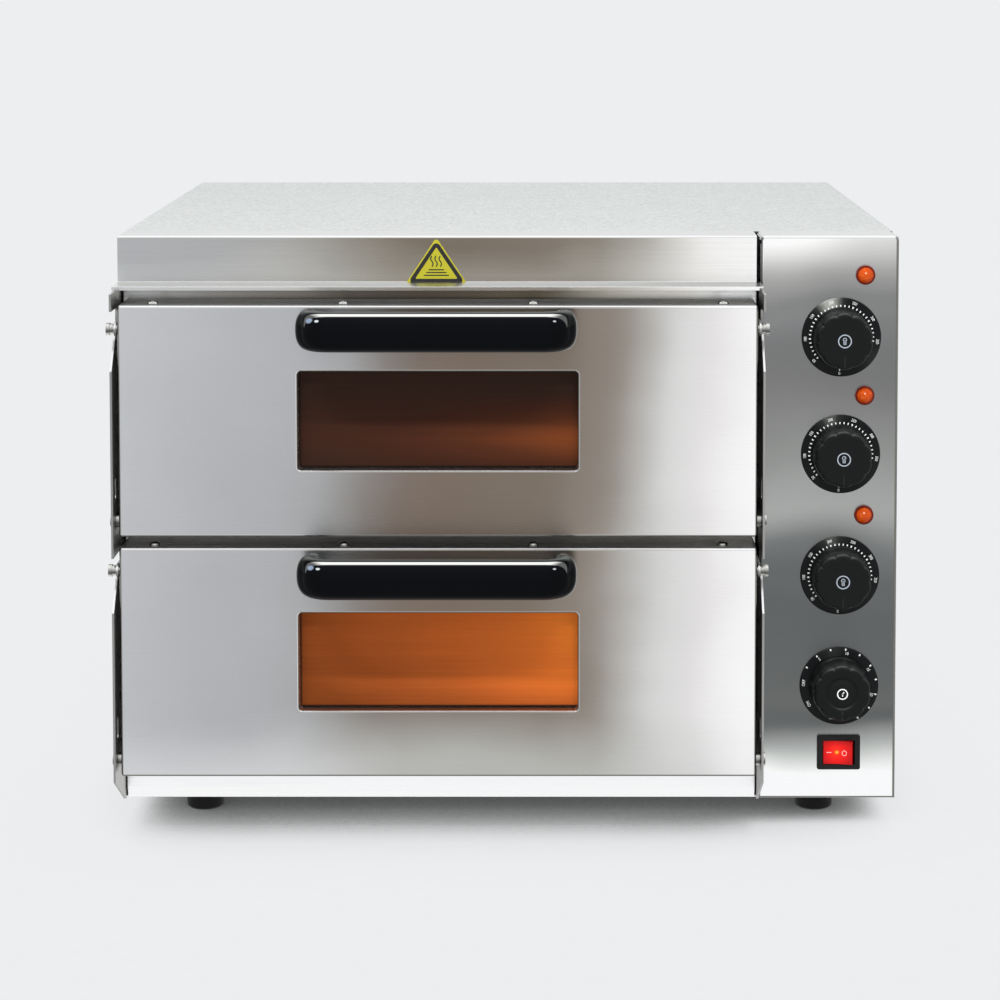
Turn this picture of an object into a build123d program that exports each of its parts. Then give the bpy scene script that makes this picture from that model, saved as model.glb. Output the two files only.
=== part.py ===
"""Countertop twin-deck electric pizza oven, built as separate pieces.

Frame: millimetres, +Z up, -Y towards the user.  The origin is on the counter
under the middle of the whole envelope.  The two doors are one above the other
towards -X, with the controls in a column at +X.
"""
from build123d import *
import math
import os

os.makedirs("parts", exist_ok=True)

# ---------------------------------------------------------------- driving sizes
LEFT, RIGHT = -280.0, 280.0         # casing sides
FRONT, BACK = -208.0, 257.0         # front frame plane, rear panel outer face
UNDERSIDE, TOP = 20.0, 430.0        # casing underside (on feet), casing top
SHEET = 1.0                         # casing sheet
FRAME_SHEET = 1.2                   # base tray, front frame and hood lip sheet
BAR = 1.5                           # hinge plate and stay arm thickness

MID_X = -49.0                       # middle of doors and chambers
FRAME_HALF = 227.5                  # half width of the front frame
FRAME_BOTTOM, FRAME_TOP = 48.5, 394.0

# doors; "up" values are heights above the door bottom
DECKS = (("upper", 221.0), ("lower", 49.2))   # deck name, door bottom height
UPPER_DOOR, LOWER_DOOR = (bottom for _, bottom in DECKS)
DOOR_W, DOOR_H = 450.0, 164.0
DOOR_FRONT = FRONT - 42.0
DOOR_BACK = FRONT - 4.0
WINDOW_W, WINDOW_H, WINDOW_UP = 197.0, 70.0, 82.5
HANDLE_UP = 151.2
HANDLE_SCREW_X = [MID_X + side * 84.0 for side in (-1, 1)]
PIVOT_Y, PIVOT_UP = FRONT - 31.0, 9.5
BOLT_Y, BOLT_UP = FRONT - 37.0, 147.0         # stay arm bolt
ARM_L, ARM_H = 235.0, 10.0
SLOT_LOW, SLOT_HIGH = 141.0, 158.5            # stay arm slot above door bottom
DOOR_SCREW_X = [MID_X + 134.0 * (i - 1.5) for i in range(4)]
DOOR_SCREW_Y = FRONT - 32.0

# baking chambers
CHAMBER_W, CHAMBER_H, CHAMBER_D = 410.0, 115.0, 400.0
FLOOR_UP = 21.0                     # chamber floor above door bottom
UPPER_FLOOR = UPPER_DOOR + FLOOR_UP
LOWER_FLOOR = LOWER_DOOR + FLOOR_UP
FLOORS = (UPPER_FLOOR, LOWER_FLOOR)
ELEMENT_UP = {"bottom": 10.0, "top": CHAMBER_H - 12.0}    # above chamber floor
TAIL_X = (-150.0, 50.0)             # element tails through the back wall
TAIL_END = 232.0
BULB_Y = 187.5                      # thermostat bulbs, near the chamber back wall
BULB_UP = (88.0, 19.0)              # above chamber floor
BULB_Z = (UPPER_FLOOR + BULB_UP[0], UPPER_FLOOR + BULB_UP[1], LOWER_FLOOR + BULB_UP[0])

# controls
CONTROL_X = 239.0                   # controls centre line
DIAL_Z = (357.0, 272.3, 183.9)
TIMER_Z = 103.1
SWITCH_Z = 54.3
LAMP_X = 256.0
LAMP_Z = (401.8, 314.9, 228.1)
PANEL_X = 181.0                     # left edge of control panel
PANEL_BACK = FRONT + 34.5           # back edge of control panel and hood

# fastenings and cord
FOOT_XY = ((-226.0, -161.0), (226.0, -161.0), (-226.0, 208.0), (226.0, 208.0))
SIDE_SCREW_YZ = [(y, z) for y in (-165.0, 235.0) for z in (60.0, 140.0, 300.0)]
REAR_SCREW_XZ = [(x, z) for x in (-262.0, 0.0, 262.0) for z in (50.0, 405.0)]
CASING_HOLE_R, DOOR_HOLE_R = 2.1, 2.05
PIN_R, PIN_HOLE_R = 3.0, 3.02       # pivots and arm bolts, their holes in the door
BAR_HOLE_R = 3.05                   # pin holes in hinge plates and stay arms
CORD_X, CORD_Z = 230.0, 62.0        # cord hole in the rear panel
PLUG_Y, CORD_LOW_Z = 286.0, 4.3     # line of the cord along the counter

SIDES = (-1, 1)
CUT = Mode.SUBTRACT
ALONG_X, ALONG_Y, ALONG_Z = (0, 90, 0), (90, 0, 0), (0, 0, 0)    # cylinder rotations


# ---------------------------------------------------------------- helpers
def at_y(y):
    """Plane facing -Y whose origin is at the given y."""
    return Plane.XZ.offset(-y)


def block(x_span, y_span, z_span, mode=Mode.ADD):
    """Box between two bounds on each axis."""
    spans = (x_span, y_span, z_span)
    with Locations(tuple((start + end) / 2 for start, end in spans)):
        Box(*[abs(end - start) for start, end in spans], mode=mode)


def cylinders(centres, radius, length, rotation, mode=Mode.ADD):
    with Locations(*centres):
        Cylinder(radius, length, rotation=rotation, mode=mode)


def rounded(centre, width, height, radius, mode=Mode.ADD):
    """Rounded rectangle in the open sketch."""
    with Locations(centre):
        RectangleRounded(width, height, radius, mode=mode)


def near(shapes, axis, position, tolerance=0.01):
    return shapes.filter_by_position(axis, position - tolerance, position + tolerance)


def element_tails(floor):
    """X and z of the element tails of one chamber."""
    return [(x, floor + up) for x in TAIL_X for up in ELEMENT_UP.values()]


def louvre_profile(face, top, drop):
    """Section of a louvre hood hanging outside a wall: distance outwards, height."""
    offsets = (
        (-1.0, 0.0), (0.0, 0.0), (1.8, -drop), (1.8, -drop - 1.0),
        (1.1, -drop - 1.0), (1.0, -drop - 0.2), (-1.0, -0.6), (-1.0, 0.0),
    )
    return [(face + out, top + up) for out, up in offsets]


def save(part, name):
    part.label = name
    export_step(part, f"parts/{name}.step")


# ================================================================ casing
def base_tray():
    """Floor tray with the front rail."""
    bend_z = 28.5
    floor_top = UNDERSIDE + FRAME_SHEET
    outer = 278.9
    inner = outer - FRAME_SHEET
    back = BACK - 1.2
    flange_z = (UNDERSIDE, 36.0)
    with BuildPart() as tray:
        with BuildSketch(Plane.YZ.offset(MID_X - FRAME_HALF)):
            with BuildLine():
                Polyline(
                    (FRONT, 48.0), (FRONT, bend_z), (FRONT + 3.2, UNDERSIDE),
                    (FRONT + 30.0, UNDERSIDE), (FRONT + 30.0, floor_top),
                    (FRONT + 4.0, floor_top), (FRONT + FRAME_SHEET, 28.8),
                    (FRONT + FRAME_SHEET, 48.0), (FRONT, 48.0),
                )
            make_face()
        extrude(amount=2 * FRAME_HALF)
        block((-outer, outer), (FRONT + 3.2, back), (UNDERSIDE, floor_top))
        block((-outer, -inner), (FRONT + 24.0, back), flange_z)
        block((inner, outer), (FRONT + 16.0, back), flange_z)
        block((-inner, inner), (back - FRAME_SHEET, back), flange_z)
        # foot bolt holes and vent slots
        cylinders([(x, y, 20.6) for x, y in FOOT_XY], 2.6, 4.0, ALONG_Z, CUT)
        with Locations(*[(MID_X + column * 44.0, 40.0 + row * 60.0, 20.6)
                         for column in range(-2, 3) for row in range(-1, 2)]):
            Box(26.0, 4.0, 6.0, mode=CUT)
        fillet(near(tray.edges().filter_by(Axis.X), Axis.Z, bend_z, 0.1), radius=1.5)
    save(tray.part, "base_tray")


def front_frame():
    """Frame behind the doors, open at each chamber."""
    return_inner = FRAME_HALF - FRAME_SHEET
    with BuildPart() as frame:
        block((MID_X - FRAME_HALF, MID_X + FRAME_HALF), (FRONT, FRONT + FRAME_SHEET),
              (FRAME_BOTTOM, FRAME_TOP))
        for side in SIDES:
            block((MID_X + side * return_inner, MID_X + side * FRAME_HALF),
                  (FRONT, FRONT + 14.0), (FRAME_BOTTOM, FRAME_TOP))
        for _, bottom in DECKS:
            with BuildSketch(at_y(FRONT + 3.0)):
                rounded((MID_X, bottom + FLOOR_UP + CHAMBER_H / 2), CHAMBER_W, CHAMBER_H, 4.0)
            extrude(amount=6.0, mode=CUT)
            # stay arm slot in front, taller clearance behind it
            slot_low, slot_high = bottom + SLOT_LOW, bottom + SLOT_HIGH
            for side in SIDES:
                slot_x = (MID_X + side * 224.6, MID_X + side * 230.0)
                block(slot_x, (FRONT - 2.0, FRONT + 20.0), (slot_low, slot_high), CUT)
                block(slot_x, (FRONT + FRAME_SHEET, FRONT + 20.0),
                      (slot_low - 14.0, slot_high + 26.0), CUT)
        # stiffening rib on the web between the chambers
        block((MID_X - 190.0, MID_X + 190.0), (FRONT - 0.9, FRONT), (205.5, 208.5))
        corners = near(frame.edges().filter_by(Axis.Z), Axis.Y, FRONT).filter_by(
            lambda e: abs(abs(e.center().X - MID_X) - FRAME_HALF) < 0.01)
        fillet(corners, radius=0.9)
    save(frame.part, "front_frame")


WALL_TOP = 428.6                    # side and rear panels, under the top panel
SIDE_Y = (FRONT + FRAME_SHEET, BACK)


def left_side_panel():
    """Side panel with two columns of vent slots."""
    with BuildPart() as panel:
        block((LEFT, LEFT + SHEET), SIDE_Y, (UNDERSIDE, WALL_TOP))
        for z in (120.0, 150.0, 180.0, 280.0, 310.0, 340.0):
            with BuildSketch(Plane.YZ.offset(LEFT - 1.0)):
                with Locations((60.0, z), (140.0, z)):
                    SlotOverall(60.0, 5.0)
            extrude(amount=3.0, mode=CUT)
        cylinders([(LEFT + SHEET / 2, y, z) for y, z in SIDE_SCREW_YZ],
                  CASING_HOLE_R, 4.0, ALONG_X, CUT)
    save(panel.part, "left_side_panel")


def right_side_panel():
    """Side panel with three columns of louvres."""
    half, opening_h = 31.0, 6.0
    with BuildPart() as panel:
        block((RIGHT - SHEET, RIGHT), SIDE_Y, (UNDERSIDE, WALL_TOP))
        for y in (-60.0, 40.0, 140.0):
            for row in range(9):
                top = 91.0 + 30.0 * row
                block((RIGHT - 3.0, RIGHT + 3.0), (y - half, y + half),
                      (top - opening_h, top), CUT)
                with BuildSketch(at_y(y + half)):
                    with BuildLine():
                        Polyline(*louvre_profile(RIGHT, top, drop=6.0))
                    make_face()
                extrude(amount=2 * half)
        cylinders([(RIGHT - SHEET / 2, y, z) for y, z in SIDE_SCREW_YZ],
                  CASING_HOLE_R, 4.0, ALONG_X, CUT)
    save(panel.part, "right_side_panel")


def rear_panel():
    """Louvred rear panel with the cord hole."""
    half, opening_h = 28.0, 4.0
    louvre_tops = [first + 20.0 * row for first in (110.0, 260.0) for row in range(5)]
    hole_y = BACK - SHEET / 2
    with BuildPart() as panel:
        block((LEFT + SHEET, RIGHT - SHEET), (BACK - SHEET, BACK), (UNDERSIDE, WALL_TOP))
        for x in (-190.0, -110.0, 10.0, 90.0, 230.0):
            for top in louvre_tops:
                block((x - half, x + half), (BACK - 3.0, BACK + 3.0),
                      (top - opening_h, top), CUT)
                with BuildSketch(Plane.YZ.offset(x - half)):
                    with BuildLine():
                        Polyline(*louvre_profile(BACK, top, drop=4.4))
                    make_face()
                extrude(amount=2 * half)
        cylinders([(CORD_X, hole_y, CORD_Z)], 8.1, 4.0, ALONG_Y, CUT)
        cylinders([(x, hole_y, z) for x, z in REAR_SCREW_XZ], CASING_HOLE_R, 4.0, ALONG_Y, CUT)
    save(panel.part, "rear_panel")


def top_panel():
    """Top sheet with flanges turned down at the sides and back."""
    flange_y, flange_z = (FRONT + 38.0, BACK - 4.0), (413.0, 429.0)
    with BuildPart() as panel:
        block((LEFT, RIGHT), (FRONT + 35.5, BACK), (WALL_TOP, WALL_TOP + SHEET))
        block((-278.8, -277.8), flange_y, flange_z)
        block((277.8, 278.8), flange_y, flange_z)
        block((-277.0, 277.0), (BACK - 2.2, BACK - 1.2), flange_z)
    save(panel.part, "top_panel")


def hood():
    """Front of the top, with the forward visor above the upper door."""
    visor_front = FRONT - 27.4
    visor_low, visor_top = 395.5, 396.7
    right_end = 178.0
    with BuildPart() as cover:
        with BuildSketch(Plane.YZ.offset(LEFT)):
            with BuildLine():
                Polyline(
                    (PANEL_BACK, TOP), (FRONT, TOP), (FRONT, visor_top),
                    (visor_front, visor_top), (visor_front, 393.9), (FRONT - 26.0, 393.9),
                    (FRONT - 26.0, visor_low), (FRONT + SHEET, visor_low),
                    (FRONT + SHEET, TOP - SHEET), (PANEL_BACK, TOP - SHEET), (PANEL_BACK, TOP),
                )
            make_face()
        extrude(amount=right_end - LEFT)
        front_edges = near(cover.edges().filter_by(Axis.X), Axis.Y, FRONT)
        fillet(near(front_edges, Axis.Z, TOP, 0.1), radius=1.6)
        # visor extension and end flange beside the control panel
        block((177.0, 180.6), (visor_front, FRONT - 1.0), (visor_low, visor_top))
        block((177.0, right_end), (FRONT + 0.5, FRONT + 12.0), (396.0, 429.5))
    save(cover.part, "hood")


def control_panel():
    """Tall rounded front panel, hollow behind, with holes for the controls."""
    width, height = RIGHT - PANEL_X, TOP - UNDERSIDE
    centre = ((PANEL_X + RIGHT) / 2, (UNDERSIDE + TOP) / 2)
    cut_back = FRONT + 40.0
    past_right = RIGHT + 1.0
    with BuildPart() as panel:
        with BuildSketch(at_y(PANEL_BACK)):
            with Locations(centre):
                Rectangle(width, height)
        extrude(amount=PANEL_BACK - FRONT)
        fillet(near(panel.edges().filter_by(Axis.Y), Axis.Z, TOP, 0.1), radius=3.5)
        fillet(panel.faces().sort_by(Axis.Y)[0].edges(), radius=2.0)
        with BuildSketch(at_y(cut_back)):
            rounded(centre, width - 2 * SHEET, height - 2 * SHEET, 2.5)
        extrude(amount=39.0, mode=CUT)
        # open the sides, leaving the top and a short front strip at the bottom
        block((PANEL_X - 1.0, past_right), (FRONT + 1.1, cut_back), (UNDERSIDE + 8.0, 425.0), CUT)
        block((PANEL_X - 1.0, past_right), (FRONT + 3.2, cut_back),
              (UNDERSIDE - 1.0, UNDERSIDE + 8.0), CUT)
        block((RIGHT - 1.1, past_right), (FRONT + 1.15, cut_back),
              (UNDERSIDE - 1.0, 428.8), CUT)
        # left flange
        block((PANEL_X, PANEL_X + SHEET), (FRONT + 1.0, FRONT + 12.0), (UNDERSIDE + 3.0, 424.0))
        # spindle holes with a screw hole on each side, lamp holes, switch opening
        for z in DIAL_Z + (TIMER_Z,):
            cylinders([(CONTROL_X, FRONT, z)], 6.0, 8.0, ALONG_Y, CUT)
            cylinders([(CONTROL_X + side * 14.0, FRONT, z) for side in SIDES],
                      1.7, 8.0, ALONG_Y, CUT)
        for z in LAMP_Z:
            cylinders([(LAMP_X, FRONT, z)], 5.1, 8.0, ALONG_Y, CUT)
        block((CONTROL_X - 13.6, CONTROL_X + 13.6), (FRONT - 4.0, FRONT + 4.0),
              (SWITCH_Z - 10.6, SWITCH_Z + 10.6), CUT)
    save(panel.part, "control_panel")


def control_partition():
    """Wall between chambers and controls, with a foot flange."""
    x0, x1 = 181.2, 182.2
    y_span = (FRONT + 13.0, BACK - 4.0)
    bottom = 21.4
    middle = (x0 + x1) / 2
    with BuildPart() as partition:
        block((x0, x1), y_span, (bottom, 424.0))
        block((x1, 196.0), y_span, (bottom, bottom + SHEET))
        cylinders([(middle, 245.0, z) for z in (80.0, 100.0, 230.0, 250.0, 390.0)],
                  4.0, 4.0, ALONG_X, CUT)
        cylinders([(middle, BULB_Y, z) for z in BULB_Z], 3.5, 4.0, ALONG_X, CUT)
    save(partition.part, "control_partition")


# hinge plate outlines: y, z
UPPER_HINGE = (
    (-186.0, 393.6), (-252.5, 393.6), (-252.5, 381.0), (-228.0, 381.0), (-226.0, 379.0),
    (-226.0, 365.0), (-228.0, 363.0), (-234.0, 363.0), (-252.5, 339.0), (-252.5, 206.0),
    (-186.0, 206.0), (-186.0, 393.6),
)
LOWER_HINGE = (
    (-186.0, 191.2), (-234.0, 191.2), (-252.5, 167.2), (-252.5, 45.5), (-209.0, 20.0),
    (-206.0, 20.0), (-206.0, 21.8), (-186.0, 21.8), (-186.0, 191.2),
)


def hinge_plates(deck, bottom, outline, slot_z, hole_z):
    """The plates left and right of one door."""
    with BuildPart() as plates:
        for x0 in (LEFT + SHEET, 179.5):
            with BuildSketch(Plane.YZ.offset(x0)):
                with BuildLine():
                    Polyline(*outline)
                make_face()
                with Locations((PIVOT_Y, bottom + PIVOT_UP)):
                    Circle(BAR_HOLE_R, mode=CUT)
                with Locations((-241.0, slot_z)):
                    SlotOverall(15.0, 4.4, rotation=90, mode=CUT)
            extrude(amount=BAR)
            cylinders([(x0 + BAR / 2, -195.0, z) for z in hole_z], 1.6, 4.0, ALONG_X, CUT)
    save(plates.part, f"{deck}_hinge_plates")


def feet():
    with BuildPart() as foot:
        with BuildSketch(Plane.XZ):
            with BuildLine():
                # radius, height
                Polyline(
                    (2.7, 5.0), (4.8, 5.0), (4.8, 0.8), (5.6, 0.0), (12.4, 0.0), (13.6, 1.2),
                    (14.6, 15.0), (15.6, 16.4), (15.6, 19.0), (14.9, 20.0), (2.7, 20.0), (2.7, 5.0),
                )
            make_face()
        revolve(axis=Axis.Z)
    with BuildPart() as four_feet:
        add([foot.part.moved(Location((x, y, 0))) for x, y in FOOT_XY])
    save(four_feet.part, "feet")


def pan_head_screw():
    """Cross-slot screw, head up, seated at z = 0."""
    with BuildPart() as screw:
        with BuildSketch(Plane.XZ):
            with BuildLine():
                # radius, height
                Polyline(
                    (0.0, 2.4), (1.8, 2.4), (3.3, 1.7), (3.9, 0.6), (3.9, 0.0), (2.0, 0.0),
                    (2.0, -9.5), (1.6, -10.0), (0.0, -10.0), (0.0, 2.4),
                )
            make_face()
        revolve(axis=Axis.Z)
        with Locations((0, 0, 2.2)):
            Box(3.6, 0.9, 1.6, mode=CUT)
            Box(0.9, 3.6, 1.6, mode=CUT)
    return screw.part


def casing_screws(screw):
    with BuildPart() as screws:
        for y, z in SIDE_SCREW_YZ:
            add(screw.moved(Location((RIGHT, y, z), (0, 90, 0))))
            add(screw.moved(Location((LEFT, y, z), (0, -90, 0))))
        for x, z in REAR_SCREW_XZ:
            add(screw.moved(Location((x, BACK, z), (-90, 0, 0))))
    save(screws.part, "casing_screws")


def foot_bolts():
    """Slotted bolts up through the feet, with hexagon nuts on the tray."""
    with BuildPart() as bolt:
        with BuildSketch(Plane.XZ):
            with BuildLine():
                # radius, height
                Polyline(
                    (0.0, 1.8), (3.6, 1.8), (4.4, 2.8), (4.4, 5.0), (2.55, 5.0), (2.55, 26.0),
                    (0.0, 26.0), (0.0, 1.8),
                )
            make_face()
        revolve(axis=Axis.Z)
        with BuildSketch(Plane.XY.offset(UNDERSIDE + FRAME_SHEET)):
            RegularPolygon(4.6, 6)
        extrude(amount=3.4)
        with Locations((0, 0, 2.4)):
            Box(5.4, 1.1, 2.0, mode=CUT)
    with BuildPart() as bolts:
        add([bolt.part.moved(Location((x, y, 0))) for x, y in FOOT_XY])
    save(bolts.part, "foot_bolts")


# ================================================================ chambers
def chamber(deck, floor):
    """Open-fronted box with a flange seated on the back of the front frame."""
    wall = 1.0
    mouth = FRONT + FRAME_SHEET
    centre = (MID_X, floor + CHAMBER_H / 2)
    with BuildPart() as box:
        with BuildSketch(at_y(mouth + CHAMBER_D + wall)):
            rounded(centre, CHAMBER_W + 2 * wall, CHAMBER_H + 2 * wall, 5.0)
        extrude(amount=CHAMBER_D + wall)
        with BuildSketch(at_y(mouth + CHAMBER_D)):
            rounded(centre, CHAMBER_W, CHAMBER_H, 4.0)
        extrude(amount=CHAMBER_D, mode=CUT)
        with BuildSketch(at_y(mouth + wall)):
            rounded(centre, CHAMBER_W + 16.0, CHAMBER_H + 16.0, 6.0)
            rounded(centre, CHAMBER_W + 1.0, CHAMBER_H + 1.0, 4.5, CUT)
        extrude(amount=wall)
        # element tails through the back wall, thermostat bulbs through the right wall
        for x, z in element_tails(floor):
            cylinders([(x, mouth + CHAMBER_D + wall / 2, z)], 4.2, 6.0, ALONG_Y, CUT)
        cylinders([(MID_X + CHAMBER_W / 2 + wall / 2, BULB_Y, floor + up) for up in BULB_UP],
                  3.2, 6.0, ALONG_X, CUT)
    save(box.part, f"{deck}_chamber")


def insulation():
    """Slabs below, between and above the chambers, and a sleeve around each."""
    gap = 9.5                       # height of sleeve above and below a chamber
    clearance = 1.2                 # from chamber inside to insulation
    chamber_back = FRONT + 2.4 + CHAMBER_D
    x_span = (MID_X - 218.0, MID_X + 218.0)
    y_span = (FRONT + 30.0, chamber_back + 30.0)
    cavity_half = CHAMBER_W / 2 + clearance
    with BuildPart() as wool:
        for z_span in (
            (30.0, LOWER_FLOOR - gap),
            (LOWER_FLOOR + CHAMBER_H + gap, UPPER_FLOOR - gap),
            (UPPER_FLOOR + CHAMBER_H + gap, 408.0),
        ):
            block(x_span, y_span, z_span)
        for floor in FLOORS:
            block(x_span, y_span, (floor - gap, floor + CHAMBER_H + gap))
            block((MID_X - cavity_half, MID_X + cavity_half), (FRONT + 20.0, chamber_back),
                  (floor - clearance, floor + CHAMBER_H + clearance), CUT)
            for x, z in element_tails(floor):
                cylinders([(x, chamber_back + 15.0, z)], 6.2, 40.0, ALONG_Y, CUT)
            cylinders([(MID_X + 214.0, BULB_Y, floor + up) for up in BULB_UP],
                      3.6, 24.0, ALONG_X, CUT)
    save(wool.part, "insulation")


STONE_UP = 24.0                     # stone underside above chamber floor


def baking_stones():
    with BuildPart() as stones:
        for floor in FLOORS:
            block((MID_X - 200.0, MID_X + 200.0), (FRONT + 6.0, FRONT + 396.0),
                  (floor + STONE_UP, floor + STONE_UP + 15.0))
        chamfer(stones.edges(), length=1.2)
    save(stones.part, "baking_stones")


def stone_rails():
    """Angle rails carrying the stones along both chamber walls."""
    with BuildPart() as rails:
        for floor in FLOORS:
            low, top = floor + 4.5, floor + STONE_UP
            for side in SIDES:
                outer = MID_X + side * CHAMBER_W / 2
                inner = outer - side * 15.0
                web = outer - side * SHEET
                with BuildSketch(at_y(FRONT + 10.0)):
                    with BuildLine():
                        Polyline(
                            (outer, low), (outer, top), (inner, top), (inner, top - SHEET),
                            (web, top - SHEET), (web, low), (outer, low),
                        )
                    make_face()
                extrude(amount=-380.0)
    save(rails.part, "stone_rails")


def elements(where):
    """Bent tubular heating elements, one in each chamber."""
    tube_r = 4.0
    left_tail, right_tail = TAIL_X
    front, fold, back = -165.0, 120.0, 170.0      # y of the bends
    with BuildPart() as tubes:
        for floor in FLOORS:
            z = floor + ELEMENT_UP[where]
            with BuildLine(Plane.XY.offset(z)) as path:
                FilletPolyline(
                    (left_tail, TAIL_END), (left_tail, back), (-215.0, back), (-215.0, front),
                    (-130.0, front), (-130.0, fold), (-75.0, fold), (-75.0, front),
                    (-25.0, front), (-25.0, fold), (32.0, fold), (32.0, front),
                    (117.0, front), (117.0, back), (right_tail, back), (right_tail, TAIL_END),
                    radius=22.0,
                )
            with BuildSketch(Plane(origin=(left_tail, TAIL_END, z), z_dir=(0, -1, 0))):
                Circle(tube_r)
            sweep(path=path.wires()[0])
    save(tubes.part, f"{where}_elements")


def element_terminals():
    """Cap, stud and washer on each element tail."""
    pieces = ((4.0, 5.5, 8.0), (12.0, 1.6, 8.0), (14.0, 3.4, 2.0))  # behind tail, radius, length
    with BuildPart() as terminals:
        for floor in FLOORS:
            for x, z in element_tails(floor):
                for behind, radius, length in pieces:
                    cylinders([(x, TAIL_END + behind, z)], radius, length, ALONG_Y)
    save(terminals.part, "element_terminals")


# ================================================================ controls
def thermostats():
    with BuildPart() as bodies:
        for z in DIAL_Z:
            block((CONTROL_X - 20.0, CONTROL_X + 20.0), (FRONT + 6.0, FRONT + 38.0),
                  (z - 18.0, z + 18.0))
            block((CONTROL_X - 22.0, CONTROL_X + 22.0), (FRONT + 4.8, FRONT + 6.0),
                  (z - 12.0, z + 12.0))
            # spacer in front and blade behind, on each side
            for side in SIDES:
                cylinders([(CONTROL_X + side * 17.5, FRONT + 3.1, z)], 2.8, 3.6, ALONG_Y)
                with Locations((CONTROL_X + side * 8.0, FRONT + 43.0, z + 8.0)):
                    Box(6.0, 10.0, 0.8)
            # collar and spindle bore
            cylinders([(CONTROL_X, FRONT + 5.0, z)], 7.0, 4.0, ALONG_Y)
            cylinders([(CONTROL_X, FRONT + 10.0, z)], 3.1, 24.0, ALONG_Y, CUT)
    save(bodies.part, "thermostats")


def timer_body():
    with BuildPart() as body:
        block((CONTROL_X - 22.0, CONTROL_X + 22.0), (FRONT + 6.0, FRONT + 44.0),
              (TIMER_Z - 22.0, TIMER_Z + 22.0))
        fillet(body.edges().filter_by(Axis.Y), radius=5.0)
        with Locations((CONTROL_X, FRONT + 47.0, TIMER_Z + 10.0)):
            Box(30.0, 6.0, 14.0)
        for side in SIDES:
            cylinders([(CONTROL_X + side * 17.0, FRONT + 3.6, TIMER_Z)], 3.0, 4.8, ALONG_Y)
        # collar and spindle bore
        cylinders([(CONTROL_X, FRONT + 5.0, TIMER_Z)], 7.0, 4.0, ALONG_Y)
        cylinders([(CONTROL_X, FRONT + 10.0, TIMER_Z)], 3.1, 24.0, ALONG_Y, CUT)
    save(body.part, "timer_body")


def capillaries():
    """Thin tubes from the thermostats to the bulbs in the chambers."""
    start_x, run_x = CONTROL_X - 10.0, 205.0
    start_y, turn_y = FRONT + 38.0, FRONT + 60.0
    with BuildPart() as tubes:
        for dial_z, bulb_z in zip(DIAL_Z, BULB_Z):
            start_z = dial_z - 8.0
            with BuildLine() as route:
                FilletPolyline(
                    (start_x, start_y, start_z), (start_x, turn_y, start_z),
                    (run_x, turn_y, start_z), (run_x, BULB_Y - 40.0, start_z),
                    (run_x, BULB_Y, bulb_z), (150.0, BULB_Y, bulb_z), radius=6.0,
                )
            with BuildSketch(Plane(origin=(start_x, start_y, start_z), z_dir=(0, 1, 0))):
                Circle(1.0)
            sweep(path=route.wires()[0])
            cylinders([(131.0, BULB_Y, bulb_z)], 3.0, 38.0, ALONG_X)
    save(tubes.part, "capillaries")


def dial_plates():
    thickness = 1.4
    with BuildPart() as plates:
        for z in DIAL_Z + (TIMER_Z,):
            with BuildSketch(at_y(FRONT)):
                with Locations((CONTROL_X, z)):
                    Circle(28.5)
                    Circle(9.0, mode=CUT)
            extrude(amount=thickness)
        circles = plates.edges().filter_by(GeomType.CIRCLE)
        rims = near(circles, Axis.Y, FRONT - thickness, 0.05).filter_by(lambda e: e.radius > 20)
        chamfer(rims, length=0.5)
    save(plates.part, "dial_plates")


def knob(name, z):
    """Scalloped grip knob with a moulded spindle stub."""
    skirt_back, grip_back, face = FRONT - 1.8, FRONT - 5.0, FRONT - 23.0
    with BuildPart() as grip:
        with BuildSketch(at_y(skirt_back)):
            with Locations((CONTROL_X, z)):
                Circle(22.0)
        extrude(amount=3.2)
        with BuildSketch(at_y(grip_back)):
            with Locations((CONTROL_X, z)):
                Circle(21.4)
                with PolarLocations(26.2, 8, start_angle=22.5):
                    Circle(6.6, mode=CUT)
        extrude(amount=18.0, taper=3.0)
        fillet(grip.faces().sort_by(Axis.Y)[0].edges(), radius=1.2)
        # recess in the face, with a raised disc inside it
        with BuildSketch(at_y(face)):
            with Locations((CONTROL_X, z)):
                Circle(12.5)
        extrude(amount=-1.0, mode=CUT)
        with BuildSketch(at_y(face + 1.0)):
            with Locations((CONTROL_X, z)):
                Circle(12.2)
        extrude(amount=0.6)
        # pointer groove, straight down at rest
        block((CONTROL_X - 0.9, CONTROL_X + 0.9), (face - 1.0, face + 1.4),
              (z - 21.0, z - 14.0), CUT)
        cylinders([(CONTROL_X, FRONT + 6.0, z)], 3.0, 16.0, ALONG_Y)
    save(grip.part, name)


def place_lamps(piece, name):
    """Turn a lamp piece from facing +Y to facing the user, at each lamp hole."""
    with BuildPart() as placed:
        for z in LAMP_Z:
            add(piece.moved(Location((LAMP_X, FRONT, z), (180, 0, 0))))
    save(placed.part, name)


def lamp_bodies():
    with BuildPart() as body:
        with BuildSketch(Plane.XY):
            with BuildLine():
                # radius, distance in front of the panel
                Polyline(
                    (5.0, -24.0), (5.0, 0.0), (6.95, 0.0), (6.95, 1.6), (6.2, 2.3), (5.6, 2.3),
                    (5.6, 1.0), (0.0, 1.0), (0.0, -24.0), (5.0, -24.0),
                )
            make_face()
        revolve(axis=Axis.Y)
    place_lamps(body.part, "lamp_bodies")


def lamp_lenses():
    """Discs with a domed front."""
    with BuildPart() as lens:
        cylinders([(0.0, 4.0, 0.0)], 5.5, 6.0, ALONG_Y)
        with Locations((0.0, -1.917, 0.0)):
            Sphere(7.117, mode=Mode.INTERSECT)
    place_lamps(lens.part, "lamp_lenses")


ROCKER_PIN_Y = FRONT + 2.5


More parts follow.
